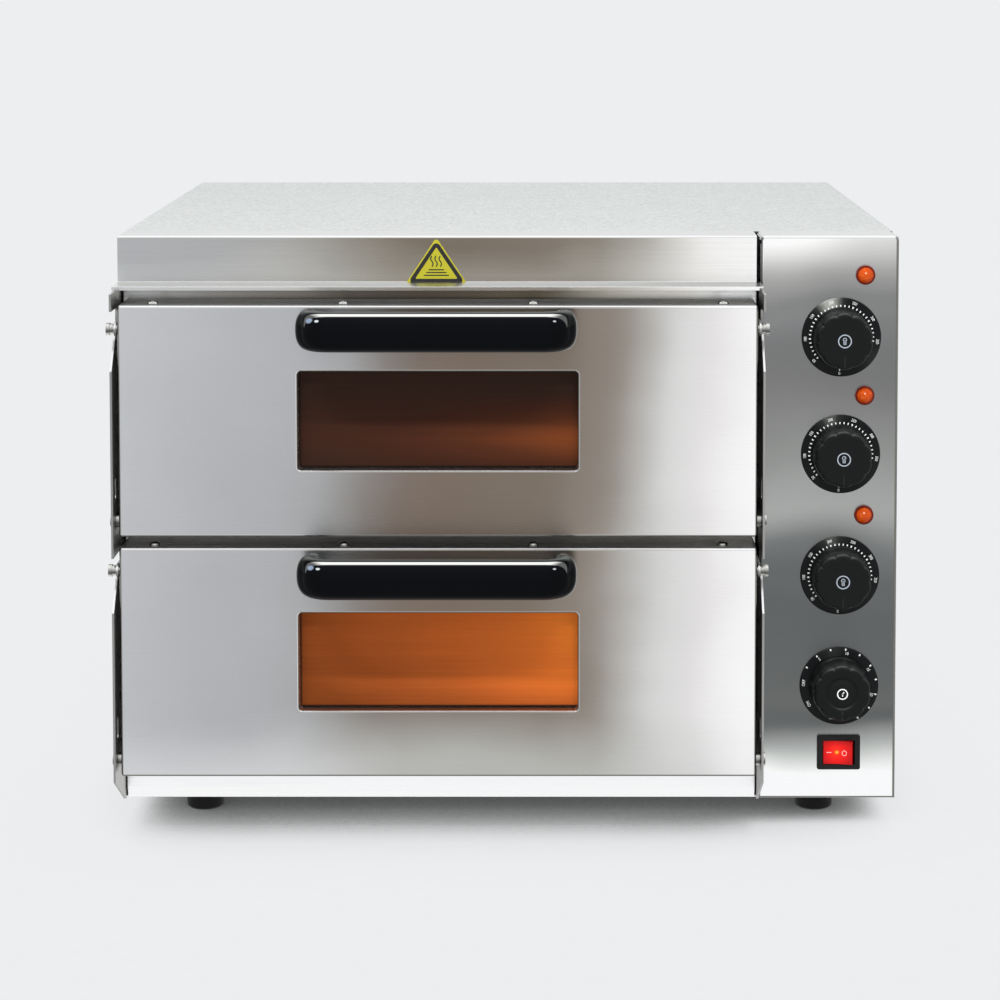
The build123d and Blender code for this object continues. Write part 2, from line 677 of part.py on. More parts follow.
def rocker_housing():
    with BuildPart() as housing:
        with BuildSketch(at_y(FRONT)):
            rounded((CONTROL_X, SWITCH_Z), 31.2, 25.4, 1.5)
        extrude(amount=2.2)
        fillet(housing.faces().sort_by(Axis.Y)[0].edges(), radius=0.9)
        block((CONTROL_X - 13.4, CONTROL_X + 13.4), (FRONT, FRONT + 22.0),
              (SWITCH_Z - 10.4, SWITCH_Z + 10.4))
        block((CONTROL_X - 11.6, CONTROL_X + 11.6), (FRONT - 5.0, FRONT + 14.0),
              (SWITCH_Z - 8.8, SWITCH_Z + 8.8), CUT)
        # three blades behind, and the pin hole
        for offset in (-7.0, 0.0, 7.0):
            with Locations((CONTROL_X + offset, FRONT + 26.0, SWITCH_Z)):
                Box(0.8, 8.0, 6.3)
        cylinders([(CONTROL_X, ROCKER_PIN_Y, SWITCH_Z)], 1.06, 20.0, ALONG_Z, CUT)
    save(housing.part, "rocker_housing")


def rocker():
    """Two wings meeting at a shallow valley in front of the pin, tilted at rest."""
    height = 17.0
    tilt = math.radians(-7.0)
    cos_tilt, sin_tilt = math.cos(tilt), math.sin(tilt)
    # x, y from the pin before tilting
    level = (
        (-10.4, -5.6), (0.0, -4.5), (10.4, -5.6), (10.9, -1.0),
        (6.0, 5.0), (-6.0, 5.0), (-10.9, -1.0),
    )
    tilted = [(CONTROL_X + x * cos_tilt - y * sin_tilt,
               ROCKER_PIN_Y + x * sin_tilt + y * cos_tilt) for x, y in level]
    with BuildPart() as button:
        with BuildSketch(Plane.XY.offset(SWITCH_Z - height / 2)):
            with BuildLine():
                Polyline(*tilted, close=True)
            make_face()
        extrude(amount=height)
        cylinders([(CONTROL_X, ROCKER_PIN_Y, SWITCH_Z)], 1.0, 19.6, ALONG_Z)
    save(button.part, "rocker")


# ================================================================ wiring and cord
def terminal_block():
    """Four-way block on a bracket reaching back to the rear panel."""
    y, base, top = 217.0, 100.0, 122.0
    with BuildPart() as terminals:
        block((205.0, 255.0), (y - 12.0, y + 12.0), (base, top))
        for way in range(4):
            x = 211.5 + 12.4 * way
            cylinders([(x, y, top)], 3.6, 12.0, ALONG_Z, CUT)
            cylinders([(x, y, (base + top) / 2)], 2.2, 60.0, ALONG_Y, CUT)
            cylinders([(x, y, 117.0)], 2.9, 2.0, ALONG_Z)
        block((200.0, 260.0), (200.0, 234.0), (97.0, base))
        block((200.0, 260.0), (234.0, 255.9), (97.0, 98.5))
    save(terminals.part, "terminal_block")


def cord_gland():
    """Gland made at the origin along Y, then moved to the cord hole."""
    bore_r = 4.45
    with BuildPart() as gland:
        with BuildSketch(Plane.XY):
            with BuildLine():
                # radius, distance behind the rear panel
                Polyline(
                    (bore_r, -14.0), (8.0, -14.0), (8.0, 0.0), (12.5, 0.0), (12.5, 5.0),
                    (10.5, 6.0), (10.5, 12.0), (8.0, 16.0), (bore_r, 16.0), (bore_r, -14.0),
                )
            make_face()
        revolve(axis=Axis.Y)
        with BuildSketch(Plane.XZ.offset(2.0)):
            RegularPolygon(12.0, 6)
            Circle(bore_r, mode=CUT)
        extrude(amount=5.0)
    save(gland.part.moved(Location((CORD_X, BACK, CORD_Z))), "cord_gland")


PLUG_X = -60.0                      # right end of the plug, end of the cord


def power_cord():
    """Cord out of the gland, down to the counter and along it to the plug."""
    start = (CORD_X, 236.0, CORD_Z)
    with BuildPart() as cord:
        with BuildLine() as path:
            FilletPolyline(
                start, (CORD_X, PLUG_Y, CORD_Z), (CORD_X, PLUG_Y, CORD_LOW_Z),
                (PLUG_X, PLUG_Y, CORD_LOW_Z), radius=12.0,
            )
        with BuildSketch(Plane(origin=start, z_dir=(0, 1, 0))):
            Circle(4.25)
        sweep(path=path.wires()[0])
    save(cord.part, "power_cord")


def mains_plug():
    """Plug lying on the counter with two round pins towards -X."""
    plug_z = 14.0
    sleeve_x, sleeve_l = PLUG_X - 2.0, 26.0
    with BuildPart() as plug:
        with BuildSketch(Plane.YZ.offset(PLUG_X)):
            rounded((PLUG_Y, plug_z), 28.0, 28.0, 7.0)
        extrude(amount=-34.0)
        fillet(plug.faces().filter_by(Axis.X).edges(), radius=3.0)
        # tapered sleeve around the cord
        with BuildSketch(Plane.YZ.offset(sleeve_x)):
            with Locations((PLUG_Y, 8.6)):
                Circle(7.2)
        extrude(amount=sleeve_l, taper=3.0)
        cylinders([(sleeve_x + sleeve_l / 2, PLUG_Y, CORD_LOW_Z)], 4.3, sleeve_l, ALONG_X, CUT)
        cylinders([(-103.0, PLUG_Y + side * 9.5, plug_z) for side in SIDES], 2.4, 20.0, ALONG_X)
    save(plug.part, "mains_plug")


# ================================================================ doors
def door_skin(deck, bottom):
    """Outer door shell with an inward collar around the window."""
    wall = 1.0
    centre = (MID_X, bottom + DOOR_H / 2)
    window_z = bottom + WINDOW_UP
    window = (MID_X, window_z)
    shell_back = DOOR_BACK - 1.0
    with BuildPart() as skin:
        with BuildSketch(at_y(shell_back)):
            rounded(centre, DOOR_W, DOOR_H, 2.2)
        extrude(amount=shell_back - DOOR_FRONT)
        fillet(skin.faces().sort_by(Axis.Y)[0].edges(), radius=1.8)
        with BuildSketch(at_y(shell_back)):
            rounded(centre, DOOR_W - 2 * wall, DOOR_H - 2 * wall, 1.2)
        extrude(amount=shell_back - DOOR_FRONT - wall, mode=CUT)
        with BuildSketch(at_y(DOOR_FRONT + 10.0)):
            rounded(window, WINDOW_W + 2 * wall, WINDOW_H + 2 * wall, 3.5)
        extrude(amount=9.5)
        with BuildSketch(at_y(DOOR_FRONT + 12.0)):
            rounded(window, WINDOW_W, WINDOW_H, 2.5)
        extrude(amount=16.0, mode=CUT)
        window_rim = near(skin.edges(), Axis.Y, DOOR_FRONT).filter_by(
            lambda e: abs(e.center().X - MID_X) < 110.0 and abs(e.center().Z - window_z) < 40.0)
        fillet(window_rim, radius=1.3)
        cylinders([(x, DOOR_SCREW_Y, bottom + DOOR_H - wall / 2) for x in DOOR_SCREW_X],
                  DOOR_HOLE_R, 4.0, ALONG_Z, CUT)
        cylinders([(x, DOOR_FRONT + wall / 2, bottom + HANDLE_UP) for x in HANDLE_SCREW_X],
                  DOOR_HOLE_R, 4.0, ALONG_Y, CUT)
        for y, up in ((PIVOT_Y, PIVOT_UP), (BOLT_Y, BOLT_UP)):
            cylinders([(MID_X + side * (DOOR_W - wall) / 2, y, bottom + up) for side in SIDES],
                      PIN_HOLE_R, 4.0, ALONG_X, CUT)
    save(skin.part, f"{deck}_door_skin")


def door_inner_pan(deck, bottom):
    """Pan closing the back of the door, with a raised pad facing the chamber."""
    wall = 0.8
    width, height = DOOR_W - 2.6, DOOR_H - 2.6
    pad_w, pad_h, pad_rise = 402.0, 108.0, 2.4
    centre = (MID_X, bottom + DOOR_H / 2)
    pad = (MID_X, bottom + FLOOR_UP + CHAMBER_H / 2)
    with BuildPart() as pan:
        with BuildSketch(at_y(DOOR_BACK)):
            rounded(centre, width, height, 1.2)
        extrude(amount=34.0)
        with BuildSketch(at_y(DOOR_BACK - wall)):
            rounded(centre, width - 2 * wall, height - 2 * wall, 1.2)
        extrude(amount=34.0, mode=CUT)
        with BuildSketch(at_y(DOOR_BACK + pad_rise)):
            rounded(pad, pad_w, pad_h, 6.0)
        extrude(amount=pad_rise)
        with BuildSketch(at_y(DOOR_BACK + pad_rise - wall)):
            rounded(pad, pad_w - 2 * wall, pad_h - 2 * wall, 5.2)
        extrude(amount=6.0, mode=CUT)
        with BuildSketch(at_y(DOOR_BACK + 4.0)):
            rounded((MID_X, bottom + WINDOW_UP), WINDOW_W, WINDOW_H, 2.5)
        extrude(amount=10.0, mode=CUT)
        cylinders([(x, DOOR_SCREW_Y, bottom + DOOR_H - 1.5) for x in DOOR_SCREW_X],
                  DOOR_HOLE_R, 4.0, ALONG_Z, CUT)
        for y, up in ((PIVOT_Y, PIVOT_UP), (BOLT_Y, BOLT_UP)):
            cylinders([(MID_X + side * 223.0, y, bottom + up) for side in SIDES],
                      PIN_HOLE_R, 6.0, ALONG_X, CUT)
    save(pan.part, f"{deck}_door_inner_pan")


def door_insulation(deck, bottom):
    """Slab filling the door around the window."""
    middle = bottom + DOOR_H / 2
    window_z = bottom + WINDOW_UP
    with BuildPart() as wool:
        block((MID_X - 211.0, MID_X + 211.0), (DOOR_FRONT + 4.2, DOOR_BACK - 1.0),
              (middle - 68.0, middle + 68.0))
        block((MID_X - 111.0, MID_X + 111.0), (DOOR_FRONT, DOOR_BACK + 2.0),
              (window_z - 47.5, window_z + 47.5), CUT)
    save(wool.part, f"{deck}_door_insulation")


GLASS_BACK = DOOR_FRONT + 14.0


def window_glass(deck, bottom):
    with BuildPart() as glass:
        with BuildSketch(at_y(GLASS_BACK)):
            rounded((MID_X, bottom + WINDOW_UP), WINDOW_W + 12.0, WINDOW_H + 12.0, 3.0)
        extrude(amount=4.0)
        chamfer(glass.faces().filter_by(Axis.Y).edges(), length=0.5)
    save(glass.part, f"{deck}_window_glass")


def glass_retainer(deck, bottom):
    """Flange behind the glass with a tunnel back to the inner pan."""
    window = (MID_X, bottom + WINDOW_UP)
    tunnel_back = DOOR_BACK - 1.0
    with BuildPart() as retainer:
        with BuildSketch(at_y(GLASS_BACK + 1.0)):
            rounded(window, WINDOW_W + 22.0, WINDOW_H + 22.0, 4.0)
        extrude(amount=1.0)
        with BuildSketch(at_y(tunnel_back)):
            rounded(window, WINDOW_W + 1.8, WINDOW_H + 1.8, 3.2)
        extrude(amount=tunnel_back - (GLASS_BACK + 0.5))
        with BuildSketch(at_y(DOOR_BACK + 2.0)):
            rounded(window, WINDOW_W, WINDOW_H, 2.5)
        extrude(amount=40.0, mode=CUT)
    save(retainer.part, f"{deck}_glass_retainer")


def handle(deck, bottom):
    """Bow handle: a slot-shaped bar with a rounded hand opening through it."""
    z = bottom + HANDLE_UP
    height, opening_w = 27.0, 141.0
    with BuildPart() as bow:
        with BuildSketch(at_y(DOOR_FRONT)):
            with Locations((MID_X, z)):
                SlotOverall(195.0, height)
        extrude(amount=50.0)
        with BuildSketch(Plane.XY.offset(z - 20.0)):
            rounded((MID_X, DOOR_FRONT - 12.0), opening_w, 44.0, 12.0)
        extrude(amount=40.0, mode=CUT)
        fillet(bow.faces().sort_by(Axis.Y)[0].edges(), radius=10.5)
        # upper and lower edges of the hand opening
        between = bow.edges().filter_by_position(Axis.Y, DOOR_FRONT - 34.01, DOOR_FRONT - 0.5)
        opening_edges = between.filter_by(
            lambda e: abs(e.center().X - MID_X) < opening_w / 2 + 0.1
            and abs(abs(e.center().Z - z) - height / 2) < 0.05)
        fillet(opening_edges, radius=4.5)
        cylinders([(x, DOOR_FRONT - 6.5, z) for x in HANDLE_SCREW_X],
                  DOOR_HOLE_R, 13.2, ALONG_Y, CUT)
    save(bow.part, f"{deck}_handle")


def door_screws(deck, bottom, screw):
    """Screws down through the door top, and forwards into the handle."""
    with BuildPart() as screws:
        for x in DOOR_SCREW_X:
            add(screw.moved(Location((x, DOOR_SCREW_Y, bottom + DOOR_H))))
        for x in HANDLE_SCREW_X:
            add(screw.moved(Location((x, DOOR_FRONT + 1.0, bottom + HANDLE_UP), (-90, 0, 0))))
    save(screws.part, f"{deck}_door_screws")


# steps of the side pins: inner and outer distance from the door middle, radius
PIVOT_STEPS = ((230.1, 232.0, 5.0), (212.5, 230.2, PIN_R), (225.05, 228.35, 4.6))
BOLT_STEPS = ((230.4, 233.0, 4.4), (212.5, 230.5, PIN_R), (227.4, 230.5, 3.8))


def side_pins(name, y, z, steps, slot_out, slot_size):
    """Stepped pins at both sides of a door, each with a slot in its outer end."""
    with BuildPart() as pins:
        for side in SIDES:
            for inner, outer, radius in steps:
                cylinders([(MID_X + side * (inner + outer) / 2, y, z)],
                          radius, outer - inner, ALONG_X)
            with Locations((MID_X + side * slot_out, y, z)):
                Box(*slot_size, mode=CUT)
    save(pins.part, name)


def stay_arm(deck, side, x0, z):
    """Flat bar with a T end inside the casing."""
    with BuildPart() as arm:
        with BuildSketch(Plane.YZ.offset(x0)):
            with Locations((BOLT_Y + ARM_L / 2, z)):
                SlotOverall(ARM_L + ARM_H, ARM_H)
            rounded((BOLT_Y + ARM_L + 1.0, z), 8.0, 28.0, 2.0)
            with Locations((BOLT_Y, z)):
                Circle(BAR_HOLE_R, mode=CUT)
        extrude(amount=BAR)
    save(arm.part, f"{deck}_{side}_stay_arm")


def door(deck, bottom, screw):
    """Every piece of one door."""
    door_skin(deck, bottom)
    door_inner_pan(deck, bottom)
    door_insulation(deck, bottom)
    window_glass(deck, bottom)
    glass_retainer(deck, bottom)
    handle(deck, bottom)
    door_screws(deck, bottom, screw)
    side_pins(f"{deck}_door_pivots", PIVOT_Y, bottom + PIVOT_UP, PIVOT_STEPS,
              slot_out=231.7, slot_size=(0.8, 7.2, 1.2))
    side_pins(f"{deck}_arm_bolts", BOLT_Y, bottom + BOLT_UP, BOLT_STEPS,
              slot_out=232.8, slot_size=(1.0, 1.2, 6.4))
    for side, x0 in (("left", MID_X - 227.3), ("right", MID_X + 225.8)):
        stay_arm(deck, side, x0, bottom + BOLT_UP)


# ================================================================ build
pan_screw = pan_head_screw()

base_tray()
front_frame()
left_side_panel()
right_side_panel()
rear_panel()
top_panel()
hood()
control_panel()
control_partition()
hinge_plates("upper", UPPER_DOOR, UPPER_HINGE, slot_z=254.0, hole_z=(230.0, 300.0, 372.0))
hinge_plates("lower", LOWER_DOOR, LOWER_HINGE, slot_z=82.0, hole_z=(60.0, 110.0, 170.0))
feet()
casing_screws(pan_screw)
foot_bolts()

for deck_name, door_bottom in DECKS:
    chamber(deck_name, door_bottom + FLOOR_UP)
insulation()
baking_stones()
stone_rails()
elements("top")
elements("bottom")
element_terminals()

thermostats()
timer_body()
capillaries()
dial_plates()
for knob_name, knob_z in zip(("upper_knob", "middle_knob", "lower_knob"), DIAL_Z):
    knob(knob_name, knob_z)
knob("timer_knob", TIMER_Z)
lamp_bodies()
lamp_lenses()
rocker_housing()
rocker()

terminal_block()
cord_gland()
power_cord()
mains_plug()

for deck_name, door_bottom in DECKS:
    door(deck_name, door_bottom, pan_screw)
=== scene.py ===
"""Countertop twin-deck pizza oven: materials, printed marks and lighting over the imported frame."""
import bpy
import math
import random
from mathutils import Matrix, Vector


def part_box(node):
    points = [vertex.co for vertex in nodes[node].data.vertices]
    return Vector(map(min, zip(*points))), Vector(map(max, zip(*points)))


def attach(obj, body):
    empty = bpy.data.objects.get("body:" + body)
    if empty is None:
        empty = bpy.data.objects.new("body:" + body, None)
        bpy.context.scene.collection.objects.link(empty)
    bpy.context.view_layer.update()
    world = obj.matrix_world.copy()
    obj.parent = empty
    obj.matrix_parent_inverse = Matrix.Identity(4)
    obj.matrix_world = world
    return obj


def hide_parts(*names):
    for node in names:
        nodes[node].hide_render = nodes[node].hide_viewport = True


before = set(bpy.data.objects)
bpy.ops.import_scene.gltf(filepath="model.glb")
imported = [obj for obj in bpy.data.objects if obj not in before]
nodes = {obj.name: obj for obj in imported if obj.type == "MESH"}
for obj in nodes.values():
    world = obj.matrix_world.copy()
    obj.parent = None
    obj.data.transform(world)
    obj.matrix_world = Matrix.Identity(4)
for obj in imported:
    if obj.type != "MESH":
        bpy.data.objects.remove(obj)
random.seed(7)


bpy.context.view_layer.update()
sc = bpy.context.scene
sc.view_settings.view_transform = "Standard"
sc.view_settings.look = "None"
sc.view_settings.exposure = 0.0
sc.view_settings.gamma = 1.0

MM = 0.001
YF = -0.208
CX = -0.049
KX = 0.239
DECKS = {"upper": 0.221, "lower": 0.0492}
DIAL_Z = (0.357, 0.2723, 0.1839)
TIMER_Z = 0.1031
SWITCH_Z = 0.0543
LAMP_X = 0.256
LAMP_Z = (0.4018, 0.3149, 0.2281)


def lin(c):
    """sRGB 0..255 to linear."""
    out = []
    for v in c[:3]:
        v = v / 255.0
        out.append(v / 12.92 if v <= 0.04045 else ((v + 0.055) / 1.055) ** 2.4)
    return (*out, 1.0)


# ------------------------------------------------------------------ node helpers
MAT = {}


class Mat:
    def __init__(self, name):
        self.m = bpy.data.materials.new(name)
        self.m.use_nodes = True
        self.t = self.m.node_tree
        self.n = self.t.nodes
        self.l = self.t.links
        self.b = next(x for x in self.n if x.type == "BSDF_PRINCIPLED")
        self.out = next(x for x in self.n if x.type == "OUTPUT_MATERIAL")
        self._co = None

    def add(self, kind, **kw):
        x = self.n.new(kind)
        for k, v in kw.items():
            setattr(x, k, v)
        return x

    def set(self, node, **kw):
        for k, v in kw.items():
            node.inputs[k.replace("_", " ")].default_value = v

    def link(self, a, b):
        self.l.new(a, b)

    def obj(self):
        if self._co is None:
            self._co = self.add("ShaderNodeTexCoord")
        return self._co.outputs["Object"]

    def val(self, v):
        x = self.add("ShaderNodeValue")
        x.outputs[0].default_value = v
        return x.outputs[0]

    def math(self, op, a, b=None, clamp=False):
        x = self.add("ShaderNodeMath", operation=op, use_clamp=clamp)
        for i, v in enumerate((a, b)):
            if v is None:
                continue
            if isinstance(v, (int, float)):
                x.inputs[i].default_value = v
            else:
                self.link(v, x.inputs[i])
        return x.outputs[0]

    def noise(self, scale, size=1.0, detail=3.0, rough=0.55, offset=(0, 0, 0), distort=0.0, turn=(0, 0, 0)):
        mp = self.add("ShaderNodeMapping")
        mp.inputs["Scale"].default_value = scale
        mp.inputs["Location"].default_value = offset
        mp.inputs["Rotation"].default_value = turn
        self.link(self.obj(), mp.inputs["Vector"])
        t = self.add("ShaderNodeTexNoise")
        t.inputs["Scale"].default_value = size
        t.inputs["Detail"].default_value = detail
        t.inputs["Roughness"].default_value = rough
        t.inputs["Distortion"].default_value = distort
        self.link(mp.outputs[0], t.inputs["Vector"])
        return t.outputs[0]

    def remap(self, v, a, b, c, d, clamp=True):
        x = self.add("ShaderNodeMapRange", clamp=clamp)
        x.inputs["From Min"].default_value = a
        x.inputs["From Max"].default_value = b
        x.inputs["To Min"].default_value = c
        x.inputs["To Max"].default_value = d
        self.link(v, x.inputs["Value"])
        return x.outputs["Result"]

    def ramp(self, fac, stops, interp="LINEAR"):
        x = self.add("ShaderNodeValToRGB")
        x.color_ramp.interpolation = interp
        e = x.color_ramp.elements
        while len(e) > 1:
            e.remove(e[-1])
        e[0].position = stops[0][0]
        e[0].color = stops[0][1]
        for p, c in stops[1:]:
            k = e.new(p)
            k.color = c
        self.link(fac, x.inputs["Fac"])
        return x.outputs["Color"]

    def mix(self, fac, a, b, mode="MIX"):
        x = self.add("ShaderNodeMix", data_type="RGBA", blend_type=mode)
        for s, v in (("Factor", fac), ("A", a), ("B", b)):
            i = next(k for k in x.inputs if k.name == s and (k.type == "RGBA" or s == "Factor") and k.enabled)
            if isinstance(v, (int, float)):
                i.default_value = v
            elif isinstance(v, tuple):
                i.default_value = v
            else:
                self.link(v, i)
        return next(o for o in x.outputs if o.type == "RGBA" and o.enabled)

    def studio(self):
        """0..1 round the studio as the reflection sees it: 0.5 towards the viewer, 0.75 overhead, 0.25 the floor."""
        tc = self.add("ShaderNodeTexCoord")
        sp = self.add("ShaderNodeSeparateXYZ")
        self.link(tc.outputs["Reflection"], sp.inputs[0])
        e = self.math("ARCTAN2", sp.outputs[2], self.math("MULTIPLY", sp.outputs[1], -1.0))
        side = self.remap(self.math("ABSOLUTE", sp.outputs[0]), 0.30, 0.62, 1.0, 0.0)
        return self.remap(e, -math.pi, math.pi, 0.0, 1.0), side

    def glints(self, stops, spot=None, keep_side=0.25):
        """A black glossy piece shows the studio as a thin bright image over its own colour."""
        f, side = self.studio()
        col = self.ramp(f, [(p, lin(c)) for p, c in stops])
        k = self.math("ADD", self.math("MULTIPLY", side, 1.0 - keep_side), keep_side)
        col = self.mix(1.0, col, self.grey(k), "MULTIPLY")
        if spot:
            tc = self.add("ShaderNodeTexCoord")
            for d, w, c in spot:
                dv = Vector(d).normalized()
                dot = self.add("ShaderNodeVectorMath", operation="DOT_PRODUCT")
                self.link(tc.outputs["Reflection"], dot.inputs[0])
                dot.inputs[1].default_value = dv
                m = self.remap(dot.outputs["Value"], 1.0 - w, 1.0 - w * 0.45, 0.0, 1.0)
                col = self.mix(m, col, lin(c))
        self.link(col, self.b.inputs["Emission Color"])
        self.b.inputs["Emission Strength"].default_value = 1.0

    def grey(self, v):
        c = self.add("ShaderNodeCombineXYZ")
        for i in range(3):
            self.link(v, c.inputs[i])
        return c.outputs[0]

    def bevel_bump(self, height, strength, dist=0.0002, radius=0.0005, normal_to=None):
        bv = self.add("ShaderNodeBevel", samples=4)
        bv.inputs["Radius"].default_value = radius
        bp = self.add("ShaderNodeBump")
        bp.inputs["Strength"].default_value = strength
        bp.inputs["Distance"].default_value = dist
        if radius > 0:
            self.link(bv.outputs[0], bp.inputs["Normal"])
        if height is not None:
            self.link(height, bp.inputs["Height"])
        self.link(bp.outputs[0], self.b.inputs["Normal"])
        return bp


def g(v):
    return lin((v, v, v))


# ------------------------------------------------------------------ brushed stainless
def steel(name, stops_x, stops_z=None, zmix=1.0, neutral=(196, 196, 195), rough=0.26, aniso=0.75, grain=1.0,
          up=(232, 232, 230), down=(120, 118, 114), grain_axis="x", tint=None, side=None, lift=None, lift_x=None, slide=0.0,
          edge=0.0011, up_x=None):
    """Brushed sheet. The studio seen in it is a ramp on the reflection direction, so it moves with the view."""
    M = Mat(name)
    tc = M.add("ShaderNodeTexCoord")
    sep = M.add("ShaderNodeSeparateXYZ")
    M.link(tc.outputs["Reflection"], sep.inputs[0])
    rx, ry, rz = sep.outputs
    # fine directional grain
    s = {"x": (16.0, 2200.0, 2200.0), "z": (2200.0, 2200.0, 16.0), "y": (2200.0, 16.0, 2200.0)}[grain_axis]
    fine = M.noise(s, 1.0, 3.0, 0.7)
    s2 = {"x": (6.0, 520.0, 520.0), "z": (520.0, 520.0, 6.0), "y": (520.0, 6.0, 520.0)}[grain_axis]
    broad = M.noise(s2, 1.0, 2.0, 0.6, (0.3, 0.1, 0.7))
    cloud = M.noise((9.0, 9.0, 9.0), 1.0, 3.0, 0.6, (1.3, 0.2, 0.4))
    # wobble the reflection a little, as real sheet is never flat
    wob = M.remap(M.noise((6.0, 6.0, 9.0), 1.0, 2.0, 0.5), 0.3, 0.7, -0.006, 0.006, False)
    fx = M.remap(M.math("ADD", rx, wob), -0.20, 0.20, 0.0, 1.0)
    if slide:
        fx = M.math("SUBTRACT", fx, M.remap(rz, -0.204, -0.145, 0.0, slide))
    col = M.ramp(fx, [(p, lin(c)) for p, c in stops_x], "CARDINAL" if len(stops_x) > 3 else "LINEAR")
    if stops_z:
        fz = M.remap(M.math("ADD", rz, wob), -0.36, -0.06, 0.0, 1.0)
        colz = M.ramp(fz, [(p, lin(c)) for p, c in stops_z], "CARDINAL")
        col = M.mix(zmix, col, colz)
        # painted reflection: the top of the panel leans brighter to its left, the foot to its right
        sl = M.remap(M.math("ADD", rx, M.remap(rz, -0.30, -0.10, -0.25, 0.0, False)), 0.06, 0.16, 1.05, 0.93, False)
        col = M.mix(1.0, col, M.grey(sl), "MULTIPLY")
    if lift:
        fl = M.remap(M.math("ADD", rz, wob), -0.36, -0.06, 0.0, 1.0)
        col = M.mix(M.ramp(fl, [(p, (v, v, v, 1)) for p, v in lift]), col,
                    M.ramp(fx, [(p, lin(c)) for p, c in lift_x]))
    neu = lin(neutral)
    # anything that looks level or upwards sees the plain bright studio instead
    lev = M.remap(rz, -0.085, -0.02, 0.0, 1.0)
    col = M.mix(lev, col, neu)
    upf = M.remap(rz, 0.05, 0.5, 0.0, 1.0)
    col = M.mix(upf, col, M.ramp(fx, [(p, lin(c)) for p, c in up_x]) if up_x else lin(up))
    dnf = M.remap(rz, -0.45, -0.75, 0.0, 1.0)
    col = M.mix(dnf, col, lin(down))
    sd = M.remap(M.math("ABSOLUTE", rx), 0.25, 0.6, 0.0, 1.0)
    col = M.mix(sd, col, lin(side or neutral))
    g1 = M.remap(fine, 0.3, 0.7, 1.0 - 0.034 * grain, 1.0 + 0.030 * grain, False)
    g2 = M.remap(broad, 0.3, 0.7, 1.0 - 0.013 * grain, 1.0 + 0.013 * grain, False)
    g3 = M.remap(cloud, 0.3, 0.7, 0.975, 1.02, False)
    gg = M.math("MULTIPLY", M.math("MULTIPLY", g1, g2), g3)
    comb = M.add("ShaderNodeCombineXYZ")
    for i in range(3):
        M.link(gg, comb.inputs[i])
    col = M.mix(1.0, col, comb.outputs[0], "MULTIPLY")
    if tint:
        col = M.mix(1.0, col, lin(tint), "MULTIPLY")
    # painted highlight where the reflection points steeply upward, as on rounded folds
    col = M.mix(M.remap(rz, 0.64, 0.84, 0.0, 1.0), col, (1.08, 1.08, 1.07, 1.0))
    # folded edges catch the light where they turn upward
    gn = M.add("ShaderNodeNewGeometry")
    be = M.add("ShaderNodeBevel", samples=6)
    be.inputs["Radius"].default_value = edge
    df = M.add("ShaderNodeVectorMath", operation="DISTANCE")
    M.link(be.outputs[0], df.inputs[0])
    M.link(gn.outputs["Normal"], df.inputs[1])
    bz = M.add("ShaderNodeSeparateXYZ")
    M.link(be.outputs[0], bz.inputs[0])
    ek = M.math("MULTIPLY", M.remap(df.outputs["Value"], 0.12, 0.50, 0.0, 1.0), M.remap(bz.outputs[2], 0.0, 0.35, 0.10, 1.0))
    col = M.mix(ek, col, (1.05, 1.05, 1.04, 1.0))
    M.link(col, M.b.inputs["Base Color"])
    M.b.inputs["Metallic"].default_value = 1.0
    M.link(M.remap(broad, 0.3, 0.7, rough - 0.035 * grain, rough + 0.035 * grain), M.b.inputs["Roughness"])
    M.b.inputs["Anisotropic"].default_value = aniso
    geo = M.add("ShaderNodeNewGeometry")
    cr = M.add("ShaderNodeVectorMath", operation="CROSS_PRODUCT")
    M.link(geo.outputs["Normal"], cr.inputs[0])
    cr.inputs[1].default_value = {"x": (1, 0.03, 0.02), "z": (0.02, 0.03, 1), "y": (0.03, 1, 0.02)}[grain_axis]
    M.link(cr.outputs[0], M.b.inputs["Tangent"])
    M.bevel_bump(fine, 0.06 * grain, 0.0001, 0.0006)
    return M.m


DOOR_X = [(0.00, (197, 198, 201)), (0.103, (193, 194, 197)), (0.175, (185, 186, 189)), (0.25, (178, 179, 181)),
          (0.285, (168, 168, 168)), (0.32, (146, 141, 137)), (0.363, (131, 119, 110)), (0.46, (128, 116, 105)),
          (0.52, (136, 126, 116)), (0.565, (160, 153, 146)), (0.604, (212, 211, 209)), (0.652, (236, 233, 232)),
          (0.696, (252, 251, 250)), (0.80, (248, 246, 245)), (1.0, (238, 236, 234))]
HOOD_X = [(0.00, (178, 179, 180)), (0.17, (177, 178, 179)), (0.25, (168, 166, 162)), (0.30, (153, 148, 140)),
          (0.363, (132, 122, 110)), (0.46, (130, 120, 109)), (0.52, (138, 129, 119)), (0.565, (152, 146, 137)),
          (0.61, (192, 188, 182)), (0.654, (233, 230, 226)), (0.70, (250, 249, 247)), (1.0, (250, 249, 247))]
RAIL_X = [(0.0, (306, 306, 304)), (0.3, (296, 295, 291)), (0.46, (282, 279, 272)), (0.60, (298, 296, 291)),
          (1.0, (304, 302, 297))]
FRAME_X = [(0.0, (215, 216, 218)), (0.103, (206, 206, 206)), (0.175, (178, 175, 172)), (0.285, (136, 130, 122)),
           (0.363, (112, 104, 94)), (0.46, (124, 115, 101)), (0.52, (140, 132, 118)), (0.575, (212, 206, 196)),
           (0.652, (252, 248, 242)), (0.70, (266, 262, 257)), (1.0, (266, 262, 257))]
DOOR_UP_X = [(0.05, (222, 222, 221)), (0.175, (204, 202, 198)), (0.285, (148, 143, 135)), (0.363, (106, 100, 90)),
             (0.50, (112, 105, 94)), (0.565, (158, 151, 141)), (0.61, (232, 228, 222)), (0.70, (330, 328, 324))]
